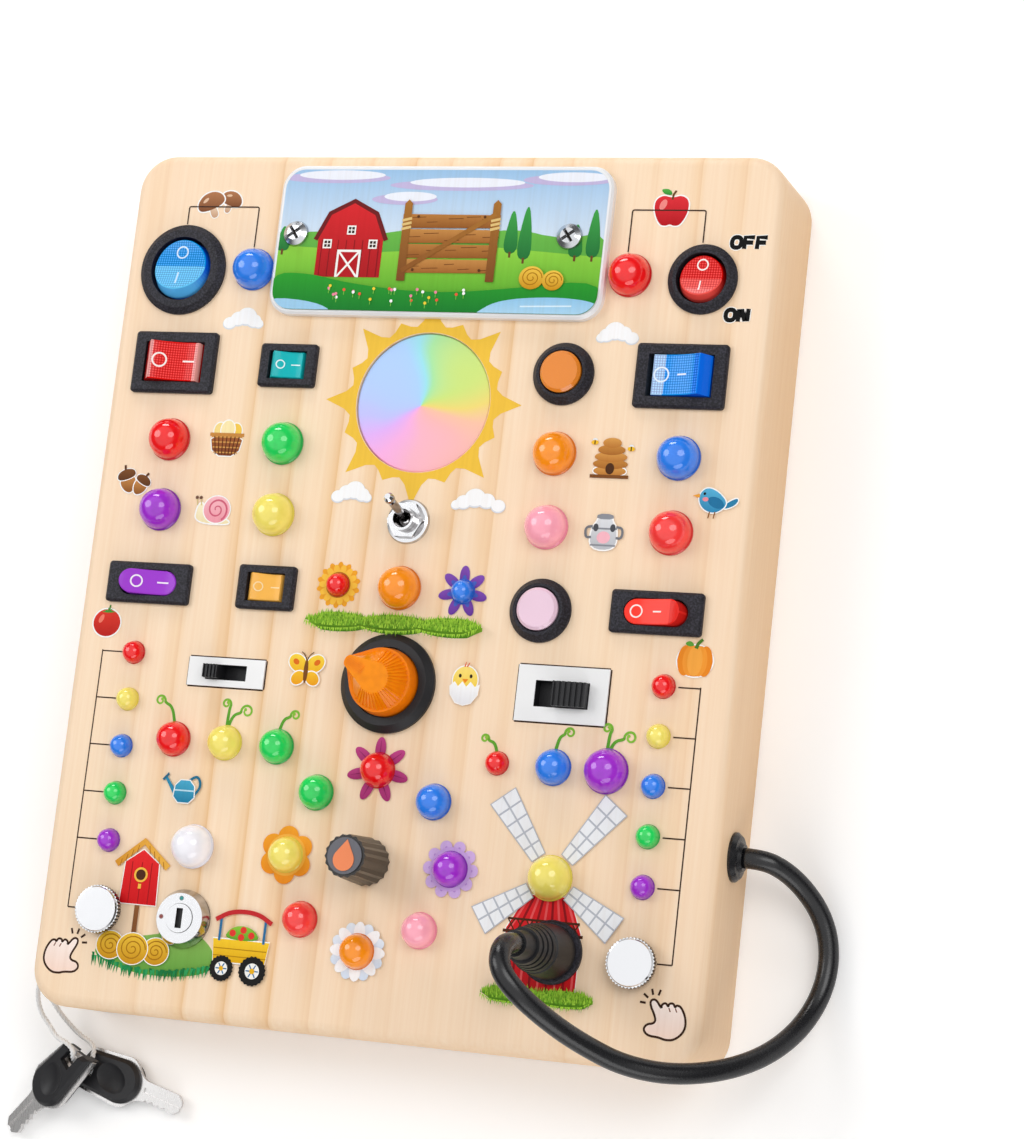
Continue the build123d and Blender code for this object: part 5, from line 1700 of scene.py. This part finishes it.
def drawHardwareMarks():
    # painted shade round the edges of the slide switch plates, two printed dots on the key switch, and
    # painted shade in the cross recesses of the cover screws
    look = {"plates": ((-58.9, -32.9, 28.0, 9.7), (60.5, -32.9, 31.0, 18.3)), "margin": 0.5,
            "screws": ((-52.5, 119), (46.5, 119)), "cross": (4.9, 0.95), "turns": (35, 125)}
    sheet = Print("print_plate_shade")
    for x, y, wide, high in look["plates"]:
        corners = box(x, y, wide / 2, high / 2)
        for start, end in zip(corners, corners[1:] + corners[:1]):
            # painted shade along the plate's edge
            sheet.stroke([start, end], 2 * look["margin"], "3a2418")
    sheet.done()
    sheet = Print("print_key_dots", base=40.6 * mm)
    sheet.aim(*keyMiddle)
    for x, y, rim, dot in ((0, 6.6, "6f8f8e", "3f9a98"), (-6.6, 0, "9a7a78", "95504e")):
        sheet.shape(oval(x, y, 0.8), rim)
        sheet.shape(oval(x, y, 0.5), dot)
    sheet.done()
    sheet = Print("print_screw_cross_shade", base=41.3 * mm)
    long, pen = look["cross"]
    for x, y in look["screws"]:
        sheet.aim(x, y)
        for turn in look["turns"]:
            # painted shade in the screw's cross recess
            sheet.stroke([polar(0, 0, -long / 2, turn), polar(0, 0, long / 2, turn)], pen, "26221f")
    sheet.done()


def drawBack():
    # rows of plain coloured shapes on the back panel, over a row of colour squares
    look = {"columns": (-78, -52, -26, 0, 26, 52, 78), "rows": (104, 62, 20, -22), "size": 8.6,
            "squares": -84, "dots": -64, "line": "2b2018", "paper": "f7f1e4",
            "tones": ("3fae5a", "7a4a34", "5a5a66", "e8842a", "e65f9a", "3f9ad8", "d8a63a", "8a5ab8",
                      "d8453f"),
            "colours": ("d8453f", "e8842a", "edd04a", "3fae5a", "3f9ad8", "8a5ab8", "f29ab4")}
    size = look["size"]
    star = [polar(0, 0, size * (0.48 if i % 2 else 1.0), 90 + 36 * i) for i in range(10)]
    drop = [(0, size), (size * 0.75, 0), (size * 0.6, -size * 0.8), (-size * 0.6, -size * 0.8),
            (-size * 0.75, 0)]
    pieces = (oval(0, 0, size), [(-size, -size * 0.8), (size, -size * 0.8), (0, size)], star,
              moved(rounded(box(0, 0, size, size), 2), 0, 0, 0.86), rounded(drop))
    sheet = Print("print_back", base=0.3 * mm, facing=-1)
    sheet.step = 0.0015 * mm
    for row, y in enumerate(look["rows"]):
        for column, x in enumerate(look["columns"]):
            kind = (column + 2 * row) % len(pieces)
            sheet.aim(x, y)
            sheet.shape(pieces[kind], look["tones"][(3 * column + 2 * row) % len(look["tones"])])
            if kind == 0:
                sheet.shape(oval(0, 0, size * 0.55), look["paper"])
    sheet.aim(0, 0)
    for x, tone in zip(look["columns"], look["colours"]):
        for half, colour in ((6.4, look["line"]), (5.2, tone)):
            sheet.shape(box(x, look["squares"], half, half), colour)
        sheet.shape(oval(x, look["dots"], 6.2), tone)
        sheet.stroke([(x, look["dots"] - 6.4), (x, look["squares"] + 6.6)], 0.6, look["line"])
    sheet.done()


drawWires()
drawWords()
drawHardwareMarks()
drawBack()
drawSunRays()
drawClouds()
drawSprouts()
drawFlowers()
drawFruit()
drawGrass()
drawMotifs()
drawHands()
drawYard()
drawMill()
drawPlatePicture()
